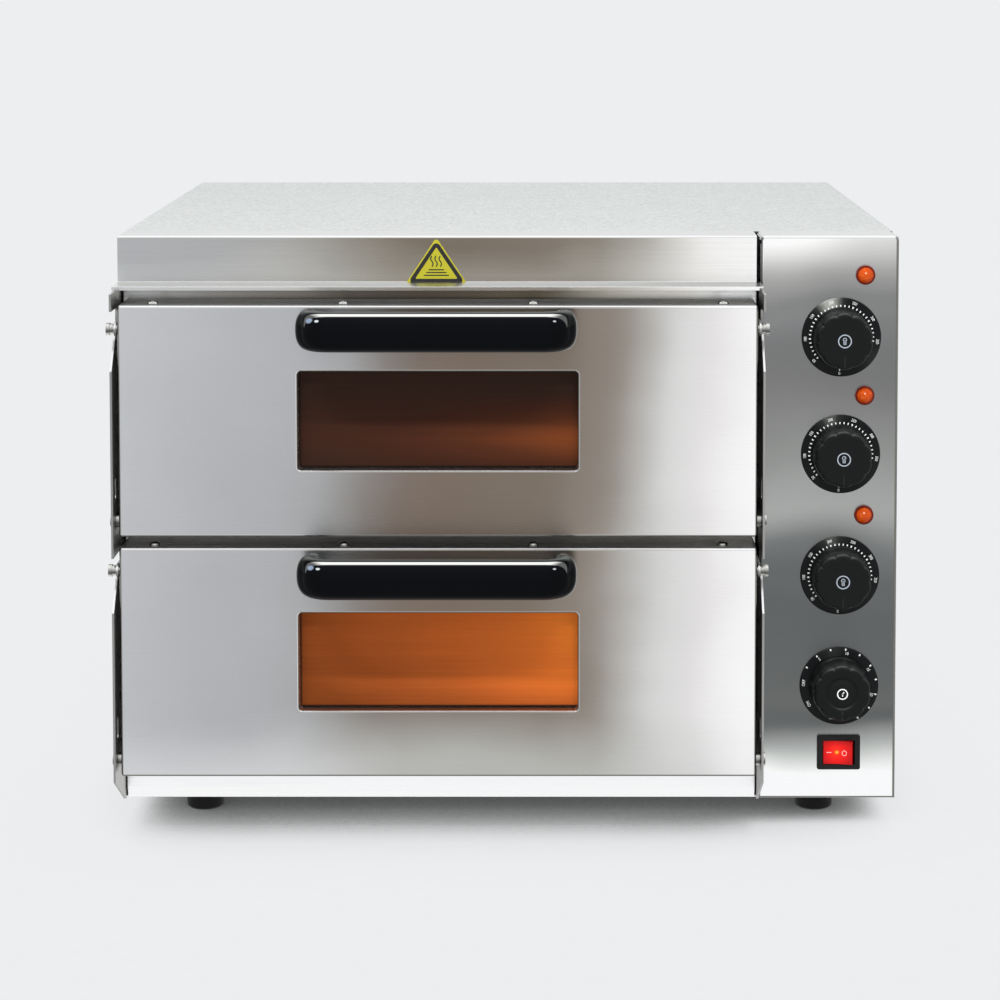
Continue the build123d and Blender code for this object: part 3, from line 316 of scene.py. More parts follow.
PANEL_Z = [(0.171, (238, 238, 235)), (0.20, (243, 243, 241)), (0.23, (182, 184, 181)), (0.259, (108, 110, 109)),
           (0.288, (96, 98, 97)), (0.378, (93, 95, 95)), (0.409, (96, 98, 98)), (0.439, (102, 104, 104)),
           (0.47, (122, 124, 123)), (0.501, (154, 155, 153)), (0.531, (158, 159, 157)), (0.563, (146, 147, 145)),
           (0.594, (138, 139, 137)), (0.625, (131, 131, 130)), (0.657, (122, 122, 121)), (0.72, (121, 121, 121)),
           (0.752, (132, 132, 132)), (0.784, (142, 142, 141)), (0.816, (186, 185, 183)), (0.848, (248, 247, 245)),
           (0.87, (252, 251, 250))]
DOOR_LIFT = [(0.19, 0.95), (0.203, 0.88), (0.233, 0.50), (0.262, 0.12), (0.285, 0.0)]
HOOD_LIFT = [(0.78, 0.80), (0.80, 0.60), (0.815, 0.42), (0.845, 0.0)]
DOOR_LIFT_X = [(0.1, (212, 213, 215)), (0.26, (212, 212, 212)), (0.36, (188, 188, 183)), (0.56, (191, 191, 186)),
               (0.65, (220, 220, 218)), (0.70, (242, 242, 240))]
HOOD_LIFT_X = [(0.1, (212, 213, 212)), (0.20, (206, 206, 204)), (0.30, (186, 184, 177)), (0.36, (180, 176, 166)),
               (0.56, (186, 182, 172)), (0.65, (240, 238, 234)), (0.70, (250, 249, 247))]

m_door = steel("brushed steel doors", DOOR_X, rough=0.28, grain=0.35, up_x=DOOR_UP_X, side=(128, 126, 121), lift=DOOR_LIFT, lift_x=DOOR_LIFT_X,
               slide=0.024)
m_hood = steel("brushed steel hood", HOOD_X, rough=0.24, grain=1.15, neutral=(214, 214, 212), side=(120, 118, 112), lift=HOOD_LIFT,
               lift_x=HOOD_LIFT_X)
m_panel = steel("brushed steel control panel", DOOR_X, PANEL_Z, 1.0, rough=0.26, grain=0.5, neutral=(214, 214, 212), side=(120, 118, 112))
m_rail = steel("brushed steel base rail", RAIL_X, rough=0.30, neutral=(240, 240, 238),
               up=(240, 240, 238), down=(262, 260, 255))
m_frame = steel("brushed steel inner frame", FRAME_X, rough=0.30, neutral=(184, 182, 178), up=(184, 182, 178),
                down=(70, 67, 62))
m_ear = steel("satin steel hinge plates", [(0.0, (150, 151, 150)), (0.5, (112, 110, 106)), (1.0, (205, 204, 201))],
              rough=0.30, grain_axis="z", neutral=(165, 165, 163), side=(128, 127, 122))


# ------------------------------------------------------------------ galvanised sheet
def galvanised(name, base=(190, 193, 191), contrast=1.0, rough=0.42):
    M = Mat(name)
    tc = M.obj()
    vo = M.add("ShaderNodeTexVoronoi")
    vo.inputs["Scale"].default_value = 560.0
    vo.inputs["Randomness"].default_value = 1.0
    M.link(tc, vo.inputs["Vector"])
    sepc = M.add("ShaderNodeSeparateColor")
    M.link(vo.outputs["Color"], sepc.inputs[0])
    fleck = M.noise((1300.0, 1300.0, 1300.0), 1.0, 2.0, 0.7)
    cloud = M.noise((14.0, 14.0, 14.0), 1.0, 3.0, 0.6)
    a = M.remap(sepc.outputs[0], 0.0, 1.0, 1.0 - 0.16 * contrast, 1.0 + 0.13 * contrast, False)
    b = M.remap(fleck, 0.3, 0.7, 1.0 - 0.14 * contrast, 1.0 + 0.12 * contrast, False)
    c = M.remap(cloud, 0.3, 0.7, 0.975, 1.02, False)
    gg = M.math("MULTIPLY", M.math("MULTIPLY", a, b), c)
    # pressed louvres and folded lips: painted light on the slope, painted soft shade underneath
    geo = M.add("ShaderNodeNewGeometry")
    nn = M.add("ShaderNodeSeparateXYZ")
    M.link(geo.outputs["Normal"], nn.inputs[0])
    nz = nn.outputs[2]
    slope = M.math("MULTIPLY", M.remap(nz, 0.10, 0.25, 0.0, 1.0), M.remap(nz, 0.55, 0.80, 1.0, 0.0))
    occ = M.add("ShaderNodeAmbientOcclusion", samples=8)
    occ.inputs["Distance"].default_value = 0.010
    shade = M.math("MULTIPLY", M.remap(occ.outputs["AO"], 0.70, 1.0, 0.38, 1.0), M.remap(nz, -0.7, -0.2, 0.35, 1.0))
    gg = M.math("MULTIPLY", gg, M.math("MULTIPLY", shade, M.remap(slope, 0.0, 1.0, 1.0, 1.18)))
    comb = M.add("ShaderNodeCombineXYZ")
    for i in range(3):
        M.link(gg, comb.inputs[i])
    M.link(M.mix(1.0, lin(base), comb.outputs[0], "MULTIPLY"), M.b.inputs["Base Color"])
    M.b.inputs["Metallic"].default_value = 0.55
    M.link(M.remap(sepc.outputs[1], 0.0, 1.0, rough - 0.1, rough + 0.12), M.b.inputs["Roughness"])
    M.bevel_bump(fleck, 0.12, 0.0001, 0.0005)
    return M.m


m_galv = galvanised("galvanised sheet")
m_liner = galvanised("aluminised steel liner", (150, 148, 142), 1.3, 0.38)


# ------------------------------------------------------------------ simple finishes, each with grain
def plain(name, color, rough, metal=0.0, speck=0.06, scale=300.0, bump=0.1, bdist=0.0002, coat=0.0, ior=1.5,
          radius=0.0004, spec=0.5, rvar=0.05, stretch=(1, 1, 1), cloudy=0.04):
    M = Mat(name)
    n1 = M.noise(tuple(scale * k for k in stretch), 1.0, 3.0, 0.6)
    n2 = M.noise((12.0, 12.0, 12.0), 1.0, 3.0, 0.55, (0.7, 0.3, 0.1))
    a = M.remap(n1, 0.3, 0.7, 1.0 - speck, 1.0 + speck, False)
    b = M.remap(n2, 0.3, 0.7, 1.0 - cloudy, 1.0 + cloudy, False)
    gg = M.math("MULTIPLY", a, b)
    comb = M.add("ShaderNodeCombineXYZ")
    for i in range(3):
        M.link(gg, comb.inputs[i])
    M.link(M.mix(1.0, lin(color), comb.outputs[0], "MULTIPLY"), M.b.inputs["Base Color"])
    M.b.inputs["Metallic"].default_value = metal
    M.link(M.remap(n2, 0.3, 0.7, max(0.0, rough - rvar), rough + rvar), M.b.inputs["Roughness"])
    M.b.inputs["IOR"].default_value = ior
    M.b.inputs["Specular IOR Level"].default_value = spec
    M.b.inputs["Coat Weight"].default_value = coat
    M.b.inputs["Coat Roughness"].default_value = 0.04
    M.bevel_bump(n1, bump, bdist, radius)
    MAT[name.split()[-1]] = M
    return M.m


m_bakelite = plain("black bakelite", (5, 6, 8), 0.07, speck=0.02, scale=500.0, bump=0.02, spec=0.035, rvar=0.02)
m_knob = plain("black knob", (13, 15, 15), 0.42, speck=0.05, scale=700.0, bump=0.04, spec=0.12, rvar=0.04)
GLOSS = [(0.0, (26, 27, 28)), (0.10, (46, 47, 48)), (0.17, (50, 50, 49)), (0.22, (18, 18, 18)), (0.30, (2, 2, 2)),
         (0.45, (0, 1, 2)), (0.55, (1, 2, 3)), (0.66, (6, 7, 9)), (0.69, (24, 26, 30)), (0.712, (44, 47, 52)),
         (0.720, (250, 250, 247)), (0.822, (252, 252, 249)), (0.832, (34, 36, 38)), (0.85, (16, 17, 18)),
         (0.87, (14, 15, 15)), (0.92, (92, 96, 92)), (1.0, (60, 62, 60))]
MAT["bakelite"].glints(GLOSS, [((-0.62, -0.55, 0.55), 0.010, (230, 236, 240)), ((0.62, -0.55, 0.55), 0.006, (200, 204, 208)),
                               ((-0.85, -0.15, 0.45), 0.03, (150, 165, 190))], 0.12)
MAT["knob"].glints([(0.0, (8, 8, 8)), (0.3, (0, 0, 0)), (0.5, (1, 1, 1)), (0.58, (9, 10, 10)), (0.66, (58, 59, 57)),
                    (0.74, (92, 94, 92)), (0.80, (52, 53, 52)), (0.9, (12, 12, 12)), (1.0, (8, 8, 8))], None, 0.35)


def dial_mat():
    """Spun black plates: a soft fan of light near the top of each, strongest on the first."""
    M = Mat("spun black dial plate")
    sp = M.add("ShaderNodeSeparateXYZ")
    M.link(M.obj(), sp.inputs[0])
    dx = M.math("SUBTRACT", sp.outputs[0], KX)
    total = None
    for z, a0, gain in ((DIAL_Z[0], -0.35, 1.0), (DIAL_Z[1], -0.30, 0.34), (DIAL_Z[2], -0.25, 0.30), (TIMER_Z, -0.2, 0.16)):
        dz = M.math("SUBTRACT", sp.outputs[2], z)
        a = M.math("ARCTAN2", dx, dz)
        d = M.math("ABSOLUTE", M.math("SUBTRACT", a, a0))
        fan = M.remap(d, 0.10, 0.62, 1.0, 0.0)
        low = M.remap(M.math("ABSOLUTE", M.math("SUBTRACT", a, 2.2)), 0.1, 0.5, 0.16, 0.0)
        near = M.math("LESS_THAN", M.math("ABSOLUTE", dz), 0.030)
        v = M.math("MULTIPLY", M.math("MULTIPLY", M.math("ADD", M.math("MULTIPLY", fan, fan), low), near), gain)
        total = v if total is None else M.math("ADD", total, v)
    n = M.noise((900.0, 900.0, 900.0), 1.0, 2.0, 0.6)
    v = M.math("MULTIPLY", total, M.remap(n, 0.3, 0.7, 0.85, 1.1, False))
    M.link(M.ramp(v, [(0.0, lin((14, 15, 16))), (0.2, lin((38, 40, 38))), (1.0, lin((150, 152, 146)))]),
           M.b.inputs["Base Color"])
    M.b.inputs["Roughness"].default_value = 0.36
    M.b.inputs["Specular IOR Level"].default_value = 0.12
    M.bevel_bump(n, 0.05, 0.0001, 0.0004)
    return M.m


m_dial = dial_mat()
m_black = plain("black moulding", (18, 18, 19), 0.34, speck=0.08, scale=700.0, bump=0.08, spec=0.2)
m_rubber = plain("black rubber", (13, 13, 14), 0.6, speck=0.12, scale=500.0, bump=0.25, spec=0.12)


def turned(name, color, rough=0.22):
    """Small plated hardware: the studio bands wrap round heads and shanks."""
    M = Mat(name)
    f, side = M.studio()
    n = M.noise((700.0, 700.0, 700.0), 1.0, 2.0, 0.6)
    band = M.ramp(f, [(0.0, g(0.62 * 255)), (0.12, g(225)), (0.22, g(250)), (0.33, g(120)), (0.42, g(96)), (0.50, g(150)),
                      (0.60, g(205)), (0.70, g(250)), (0.78, g(255)), (0.88, g(150)), (1.0, g(158))])
    k = M.grey(M.remap(n, 0.3, 0.7, 0.93, 1.06, False))
    col = M.mix(1.0, M.mix(1.0, lin(color), band, "MULTIPLY"), k, "MULTIPLY")
    M.link(col, M.b.inputs["Base Color"])
    M.b.inputs["Metallic"].default_value = 1.0
    M.b.inputs["Roughness"].default_value = rough
    M.bevel_bump(n, 0.05, 0.0001, 0.0003)
    return M.m


m_zinc = turned("zinc plated screw", (236, 235, 230))
m_wool = plain("ceramic fibre", (226, 223, 212), 0.95, speck=0.10, scale=420.0, bump=0.9, bdist=0.0010)
m_stone = plain("cordierite stone", (206, 190, 163), 0.85, speck=0.13, scale=620.0, bump=0.5, bdist=0.0004, cloudy=0.08)
m_ceramic = plain("white ceramic", (236, 233, 224), 0.22, speck=0.03, scale=300.0, bump=0.05)
m_copper = plain("copper capillary", (186, 112, 72), 0.26, metal=1.0, speck=0.08, scale=500.0)
m_nylon = plain("ivory nylon", (224, 218, 200), 0.4, speck=0.04, scale=400.0)
m_therm = plain("pressed switch body", (188, 186, 180), 0.35, metal=0.8, speck=0.08, scale=400.0)
m_darkred = plain("dark red bezel", (96, 22, 10), 0.18, speck=0.05, scale=500.0, spec=0.15)
m_white = plain("white print", (232, 233, 232), 0.5, speck=0.05, scale=900.0, bump=0.0, radius=0.0)
m_inkblack = plain("black print", (22, 21, 20), 0.45, speck=0.05, scale=900.0, bump=0.0, radius=0.0)
m_yellow = plain("yellow vinyl", (166, 160, 26), 0.42, speck=0.04, scale=900.0, bump=0.03, radius=0.0)
# near-black strip for the knob pointers: painted shade of the pointer groove
m_groove_shade = plain("black groove paint", (4, 4, 4), 0.7, speck=0.02, scale=300.0, radius=0.0)


def element_mat(name, glow):
    M = Mat(name)
    n = M.noise((60.0, 60.0, 60.0), 1.0, 3.0, 0.6)
    M.link(M.ramp(n, [(0.35, lin((60, 48, 42))), (0.65, lin((104, 88, 78)))]), M.b.inputs["Base Color"])
    M.b.inputs["Metallic"].default_value = 0.8
    M.b.inputs["Roughness"].default_value = 0.5
    M.b.inputs["Emission Color"].default_value = lin((255, 92, 20))
    M.link(M.remap(n, 0.3, 0.7, glow * 0.7, glow), M.b.inputs["Emission Strength"])
    M.bevel_bump(n, 0.2, 0.0003, 0.0)
    return M.m


m_element = element_mat("heat tinted element", 2.5)


def amber_glass(name, deck):
    """Amber reflective pane: the hot glow behind it is seen as a soft streaked gradient."""
    M = Mat(name)
    sep = M.add("ShaderNodeSeparateXYZ")
    M.link(M.obj(), sep.inputs[0])
    zc = DECKS[deck] + 0.0825
    u = M.remap(sep.outputs[0], CX - 0.0985, CX + 0.0985, 0.0, 1.0)
    v = M.remap(sep.outputs[2], zc - 0.035, zc + 0.035, 0.0, 1.0)
    streak = M.noise((4.0, 4.0, 46.0), 1.0, 3.0, 0.5, (0.2, 0, 0.5), 0.2, (0.0, 0.10, 0.0))
    fine = M.noise((10.0, 10.0, 1200.0), 1.0, 2.0, 0.6)
    soft = M.noise((9.0, 9.0, 16.0), 1.0, 2.0, 0.5, (3.1, 0, 1.7))
    if deck == "lower":
        f = M.math("ADD", M.math("MULTIPLY", u, 0.74), M.math("MULTIPLY", v, 0.16))
        f = M.math("ADD", f, M.remap(streak, 0.35, 0.65, -0.045, 0.05, False))
        f = M.math("ADD", f, M.remap(soft, 0.3, 0.7, -0.05, 0.07, False))
        f = M.math("ADD", f, M.remap(v, 0.05, 0.32, -0.17, 0.0))
        stops = [(0.0, (118, 58, 23)), (0.25, (142, 70, 29)), (0.5, (174, 86, 35)), (0.75, (194, 98, 37)),
                 (1.0, (216, 116, 41))]
    else:
        # dark brown, with a painted warm glow low on the right
        uu = M.math("POWER", u, 1.6)
        d = M.math("ABSOLUTE", M.math("SUBTRACT", v, 0.29))
        vv = M.remap(d, 0.0, 0.48, 1.0, 0.0)
        f = M.math("ADD", M.math("MULTIPLY", M.math("MULTIPLY", uu, vv), 0.74), M.math("MULTIPLY", vv, 0.12))
        f = M.math("ADD", f, M.remap(streak, 0.35, 0.65, -0.02, 0.03, False))
        f = M.math("ADD", f, M.remap(soft, 0.3, 0.7, -0.03, 0.05, False))
        stops = [(0.0, (46, 31, 25)), (0.2, (56, 31, 22)), (0.45, (72, 38, 23)), (0.7, (98, 50, 26)),
                 (1.0, (116, 60, 28))]
    col = M.ramp(f, [(p, lin(c)) for p, c in stops])
    col = M.mix(1.0, col, M.ramp(fine, [(0.3, (0.93, 0.93, 0.93, 1)), (0.7, (1.05, 1.05, 1.05, 1))]), "MULTIPLY")
    # painted shade: darker bands along the bottom and left edges of the pane, beside the rim of the opening
    painted_ledge_shade = M.remap(v, 0.012, 0.030, 1.0, 0.0)
    painted_jamb_shade = M.remap(u, 0.003, 0.009, 0.8, 0.0)
    col = M.mix(M.math("MAXIMUM", painted_ledge_shade, painted_jamb_shade), col, lin((26, 20, 17)))
    M.link(col, M.b.inputs["Base Color"])
    M.b.inputs["Roughness"].default_value = 0.16
    M.b.inputs["IOR"].default_value = 1.45
    M.b.inputs["Specular IOR Level"].default_value = 0.04
    M.link(col, M.b.inputs["Emission Color"])
    M.b.inputs["Emission Strength"].default_value = 0.10
    # only the coated front is seen as a solid colour; a little of the chamber shows through
    tr = M.add("ShaderNodeBsdfTransparent")
    M.link(col, tr.inputs[0])
    mx = M.add("ShaderNodeMixShader")
    mx.inputs[0].default_value = 0.06
    M.link(M.b.outputs[0], mx.inputs[1])
    M.link(tr.outputs[0], mx.inputs[2])
    M.link(mx.outputs[0], M.out.inputs["Surface"])
    return M.m


def lamp_mat():
    M = Mat("amber lamp lens")
    sep = M.add("ShaderNodeSeparateXYZ")
    M.link(M.obj(), sep.inputs[0])
    vo = M.add("ShaderNodeTexVoronoi")
    vo.inputs["Scale"].default_value = 520.0
    M.link(M.obj(), vo.inputs["Vector"])
    lw = M.add("ShaderNodeLayerWeight")
    lw.inputs["Blend"].default_value = 0.35
    col = M.ramp(lw.outputs["Facing"], [(0.0, lin((192, 76, 14))), (0.30, lin((176, 62, 9))), (0.55, lin((132, 34, 5))), (0.8, lin((72, 15, 3)))])
    col = M.mix(0.35, col, M.ramp(vo.outputs["Distance"], [(0.0, lin((206, 92, 24))), (0.6, lin((120, 34, 5)))]))
    M.link(col, M.b.inputs["Base Color"])
    # painted highlight: a small white spot where the reflection points up and toward the viewer
    tcr = M.add("ShaderNodeTexCoord")
    dot = M.add("ShaderNodeVectorMath", operation="DOT_PRODUCT")
    M.link(tcr.outputs["Reflection"], dot.inputs[0])
    dot.inputs[1].default_value = Vector((0.05, -0.93, 0.36)).normalized()
    spot = M.remap(dot.outputs["Value"], 0.985, 0.997, 0.0, 1.0)
    M.link(M.mix(spot, M.mix(1.0, col, (0.1, 0.1, 0.1, 1), "MULTIPLY"), (0.9, 0.85, 0.78, 1)), M.b.inputs["Emission Color"])
    M.b.inputs["Emission Strength"].default_value = 1.0
    M.b.inputs["Roughness"].default_value = 0.08
    M.b.inputs["Specular IOR Level"].default_value = 0.15
    M.bevel_bump(vo.outputs["Distance"], 0.25, 0.0004, 0.0)
    return M.m


m_lamp = lamp_mat()


def rocker_mat():
    M = Mat("red lit rocker")
    sep = M.add("ShaderNodeSeparateXYZ")
    M.link(M.obj(), sep.inputs[0])
    dx = M.math("SUBTRACT", sep.outputs[0], KX - 0.0012)
    dz = M.math("SUBTRACT", sep.outputs[2], SWITCH_Z + 0.0003)
    r = M.math("SQRT", M.math("ADD", M.math("MULTIPLY", dx, dx), M.math("MULTIPLY", dz, dz)))
    n = M.noise((260.0, 260.0, 260.0), 1.0, 2.0, 0.6)
    rr = M.math("ADD", r, M.remap(n, 0.3, 0.7, -0.0004, 0.0004, False))
    col = M.ramp(M.remap(rr, 0.0, 0.012, 0.0, 1.0), [
        (0.0, lin((255, 196, 70))), (0.07, lin((255, 120, 30))), (0.16, lin((240, 40, 22))), (0.45, lin((206, 22, 20))),
        (1.0, lin((158, 12, 14)))])
    M.link(col, M.b.inputs["Base Color"])
    M.link(col, M.b.inputs["Emission Color"])
    M.b.inputs["Emission Strength"].default_value = 0.22
    M.b.inputs["Roughness"].default_value = 0.16
    M.b.inputs["Specular IOR Level"].default_value = 0.15
    M.bevel_bump(n, 0.05, 0.0002, 0.0006)
    return M.m


m_rocker = rocker_mat()

# ------------------------------------------------------------------ give every CAD node its finish
FIN = {
    "hood": m_hood, "control_panel": m_panel, "top_panel": m_galv, "base_tray": m_rail, "front_frame": m_frame,
    "left_side_panel": m_galv, "right_side_panel": m_galv, "rear_panel": m_galv, "control_partition": m_liner,
    "upper_chamber": m_liner, "lower_chamber": m_liner, "insulation": m_wool, "baking_stones": m_stone,
    "stone_rails": m_liner, "top_elements": m_element, "bottom_elements": m_element, "element_terminals": m_ceramic,
    "upper_hinge_plates": m_ear, "lower_hinge_plates": m_ear, "feet": m_rubber, "foot_bolts": m_zinc,
    "casing_screws": m_zinc, "thermostats": m_therm, "timer_body": m_black, "dial_plates": m_dial,
    "rocker_housing": m_black, "rocker": m_rocker, "lamp_bodies": m_darkred, "lamp_lenses": m_lamp,
    "terminal_block": m_nylon, "cord_gland": m_black, "power_cord": m_rubber, "mains_plug": m_rubber,
    "capillaries": m_copper, "upper_knob": m_knob, "middle_knob": m_knob, "lower_knob": m_knob, "timer_knob": m_knob,
}
for d in DECKS:
    FIN.update({
        f"{d}_door_skin": m_door, f"{d}_door_inner_pan": m_liner, f"{d}_door_insulation": m_wool,
        f"{d}_window_glass": amber_glass(f"amber pane {d}", d), f"{d}_glass_retainer": m_liner,
        f"{d}_handle": m_bakelite, f"{d}_door_screws": m_zinc, f"{d}_door_pivots": m_zinc, f"{d}_arm_bolts": m_zinc,
        f"{d}_left_stay_arm": m_ear, f"{d}_right_stay_arm": m_ear,
    })
for n, o in nodes.items():
    o.data.materials.clear()
    o.data.materials.append(FIN[n])


# ------------------------------------------------------------------ mesh helpers for added pieces
def new_mesh(name, verts, faces, mat, body, smooth=False):
    me = bpy.data.meshes.new(name)
    me.from_pydata([tuple(v) for v in verts], [], faces)
    me.update()
    if smooth:
        for p in me.polygons:
            p.use_smooth = True
    o = bpy.data.objects.new(name, me)
    sc.collection.objects.link(o)
    me.materials.append(mat)
    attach(o, body)
    return o


def slab(outline, y0, y1, place):
    """A thin printed shape: outline in the (u, v) face plane, between depths y0 (back) and y1 (front)."""
    n = len(outline)
    vs = [place(u, v, y0) for u, v in outline] + [place(u, v, y1) for u, v in outline]
    fs = [tuple(range(n, 2 * n)), tuple(reversed(range(n)))]
    fs += [(i, (i + 1) % n, n + (i + 1) % n, n + i) for i in range(n)]
    return vs, fs


class Group:
    def __init__(self):
        self.v, self.f = [], []

    def add(self, vs, fs):
        k = len(self.v)
        self.v += vs
        self.f += [tuple(i + k for i in f) for f in fs]

    def bar(self, u0, v0, u1, v1, w, y0, y1, place):
        du, dv = u1 - u0, v1 - v0
        L = math.hypot(du, dv)
        nu, nv = -dv / L * w / 2, du / L * w / 2
        self.add(*slab([(u0 + nu, v0 + nv), (u0 - nu, v0 - nv), (u1 - nu, v1 - nv), (u1 + nu, v1 + nv)], y0, y1, place))

    def ring(self, cu, cv, r0, r1, y0, y1, place, n=48, a0=0.0, a1=360.0):
        pts = []
        steps = n if a1 - a0 < 360 else n
        full = a1 - a0 >= 360
        vs, fs = [], []
        for i in range(steps + (0 if full else 1)):
            a = math.radians(a0 + (a1 - a0) * i / steps)
            for r in (r0, r1):
                for y in (y0, y1):
                    vs.append(place(cu + r * math.cos(a), cv + r * math.sin(a), y))
        m = len(vs) // 4
        for i in range(m if full else m - 1):
            j = (i + 1) % m
            a, b = 4 * i, 4 * j
            fs += [(a + 1, a + 3, b + 3, b + 1), (a, b, b + 2, a + 2), (a + 2, b + 2, b + 3, a + 3), (a, a + 1, b + 1, b)]
        self.add(vs, fs)

    def disc(self, cu, cv, r, y0, y1, place, n=28):
        self.add(*slab([(cu + r * math.cos(2 * math.pi * i / n), cv + r * math.sin(2 * math.pi * i / n)) for i in range(n)],
                       y0, y1, place))

    def text(self, body, cu, cv, size, ang, y0, y1, place):
        cu_ = bpy.data.curves.new("t", "FONT")
        cu_.body = body
        cu_.size = 1.0
        cu_.align_x = "CENTER"
        cu_.align_y = "CENTER"
        cu_.resolution_u = 3
        cu_.extrude = 0.5
        o = bpy.data.objects.new("t", cu_)
        sc.collection.objects.link(o)
        dg = bpy.context.evaluated_depsgraph_get()
        me = bpy.data.meshes.new_from_object(o.evaluated_get(dg))
        ca, sa = math.cos(ang), math.sin(ang)
        vs = []
        for v in me.vertices:
            u, w = v.co.x * size * 0.86, v.co.y * size
            vs.append(place(cu + u * ca - w * sa, cv + u * sa + w * ca, y1 if v.co.z > 0 else y0))
        self.add(vs, [tuple(p.vertices) for p in me.polygons])
        bpy.data.objects.remove(o)
        bpy.data.meshes.remove(me)
        bpy.data.curves.remove(cu_)

    def make(self, name, mat, body, smooth=False):
        return new_mesh(name, self.v, self.f, mat, body, smooth)


def front(ox, oz):
    """(u right, v up, y) in millimetres about a point of the front face."""
    return lambda u, v, y: (ox + u * MM, y * MM, oz + v * MM)


# ------------------------------------------------------------------ printed scales
YP0, YP1 = -209.3, -209.46
for k, (z, who) in enumerate(zip(DIAL_Z, ("upper", "middle", "lower"))):
    G = Group()
    pl = front(KX, z)
    for i in range(31):
        a = math.radians(229 + 7.6 * i)
        u, v = math.sin(a), math.cos(a)
        G.bar(u * 21.95, v * 21.95, u * 23.35, v * 23.35, 0.8 if i % 5 else 1.0, YP0, YP1, pl)
    for i, t in enumerate(("50", "100", "150", "200", "250", "300", "350")):
        a = math.radians(229 + 38 * i)
        G.text(t, math.sin(a) * 25.9, math.cos(a) * 25.9, 2.9, -a, YP0, YP1, pl)
    a = math.radians(183)
    G.text("0", math.sin(a) * 26.3, math.cos(a) * 26.3, 3.2, 0.0, YP0, YP1, pl)
    G.bar(math.sin(a) * 22.8, math.cos(a) * 22.8, math.sin(a) * 24.2, math.cos(a) * 24.2, 0.7, YP0, YP1, pl)
    G.make(f"{who}_heat_scale", m_white, "oven_body")

G = Group()
pl = front(KX, TIMER_Z)
for t, deg in (("5", 324), ("10", 13), ("15", 60), ("20", 105), ("25", 149), ("30", 194)):
    a = math.radians(deg)
    G.text(t, math.sin(a) * 24.2, math.cos(a) * 24.2, 3.1, -a if t != "30" else 0.0, YP0, YP1, pl)
for t, deg in (("OFF", 275), ("ON", 239)):
    a = math.radians(deg)
    G.text(t, math.sin(a) * 25.6, math.cos(a) * 25.6, 3.2, -a, YP0, YP1, pl)
for i in range(10):
    a = math.radians(300 + 23.3 * i)
    u, v = math.sin(a), math.cos(a)
    G.bar(u * 26.3, v * 26.3, u * 27.7, v * 27.7, 1.0, YP0, YP1, pl)
G.make("timer_scale", m_white, "oven_body")


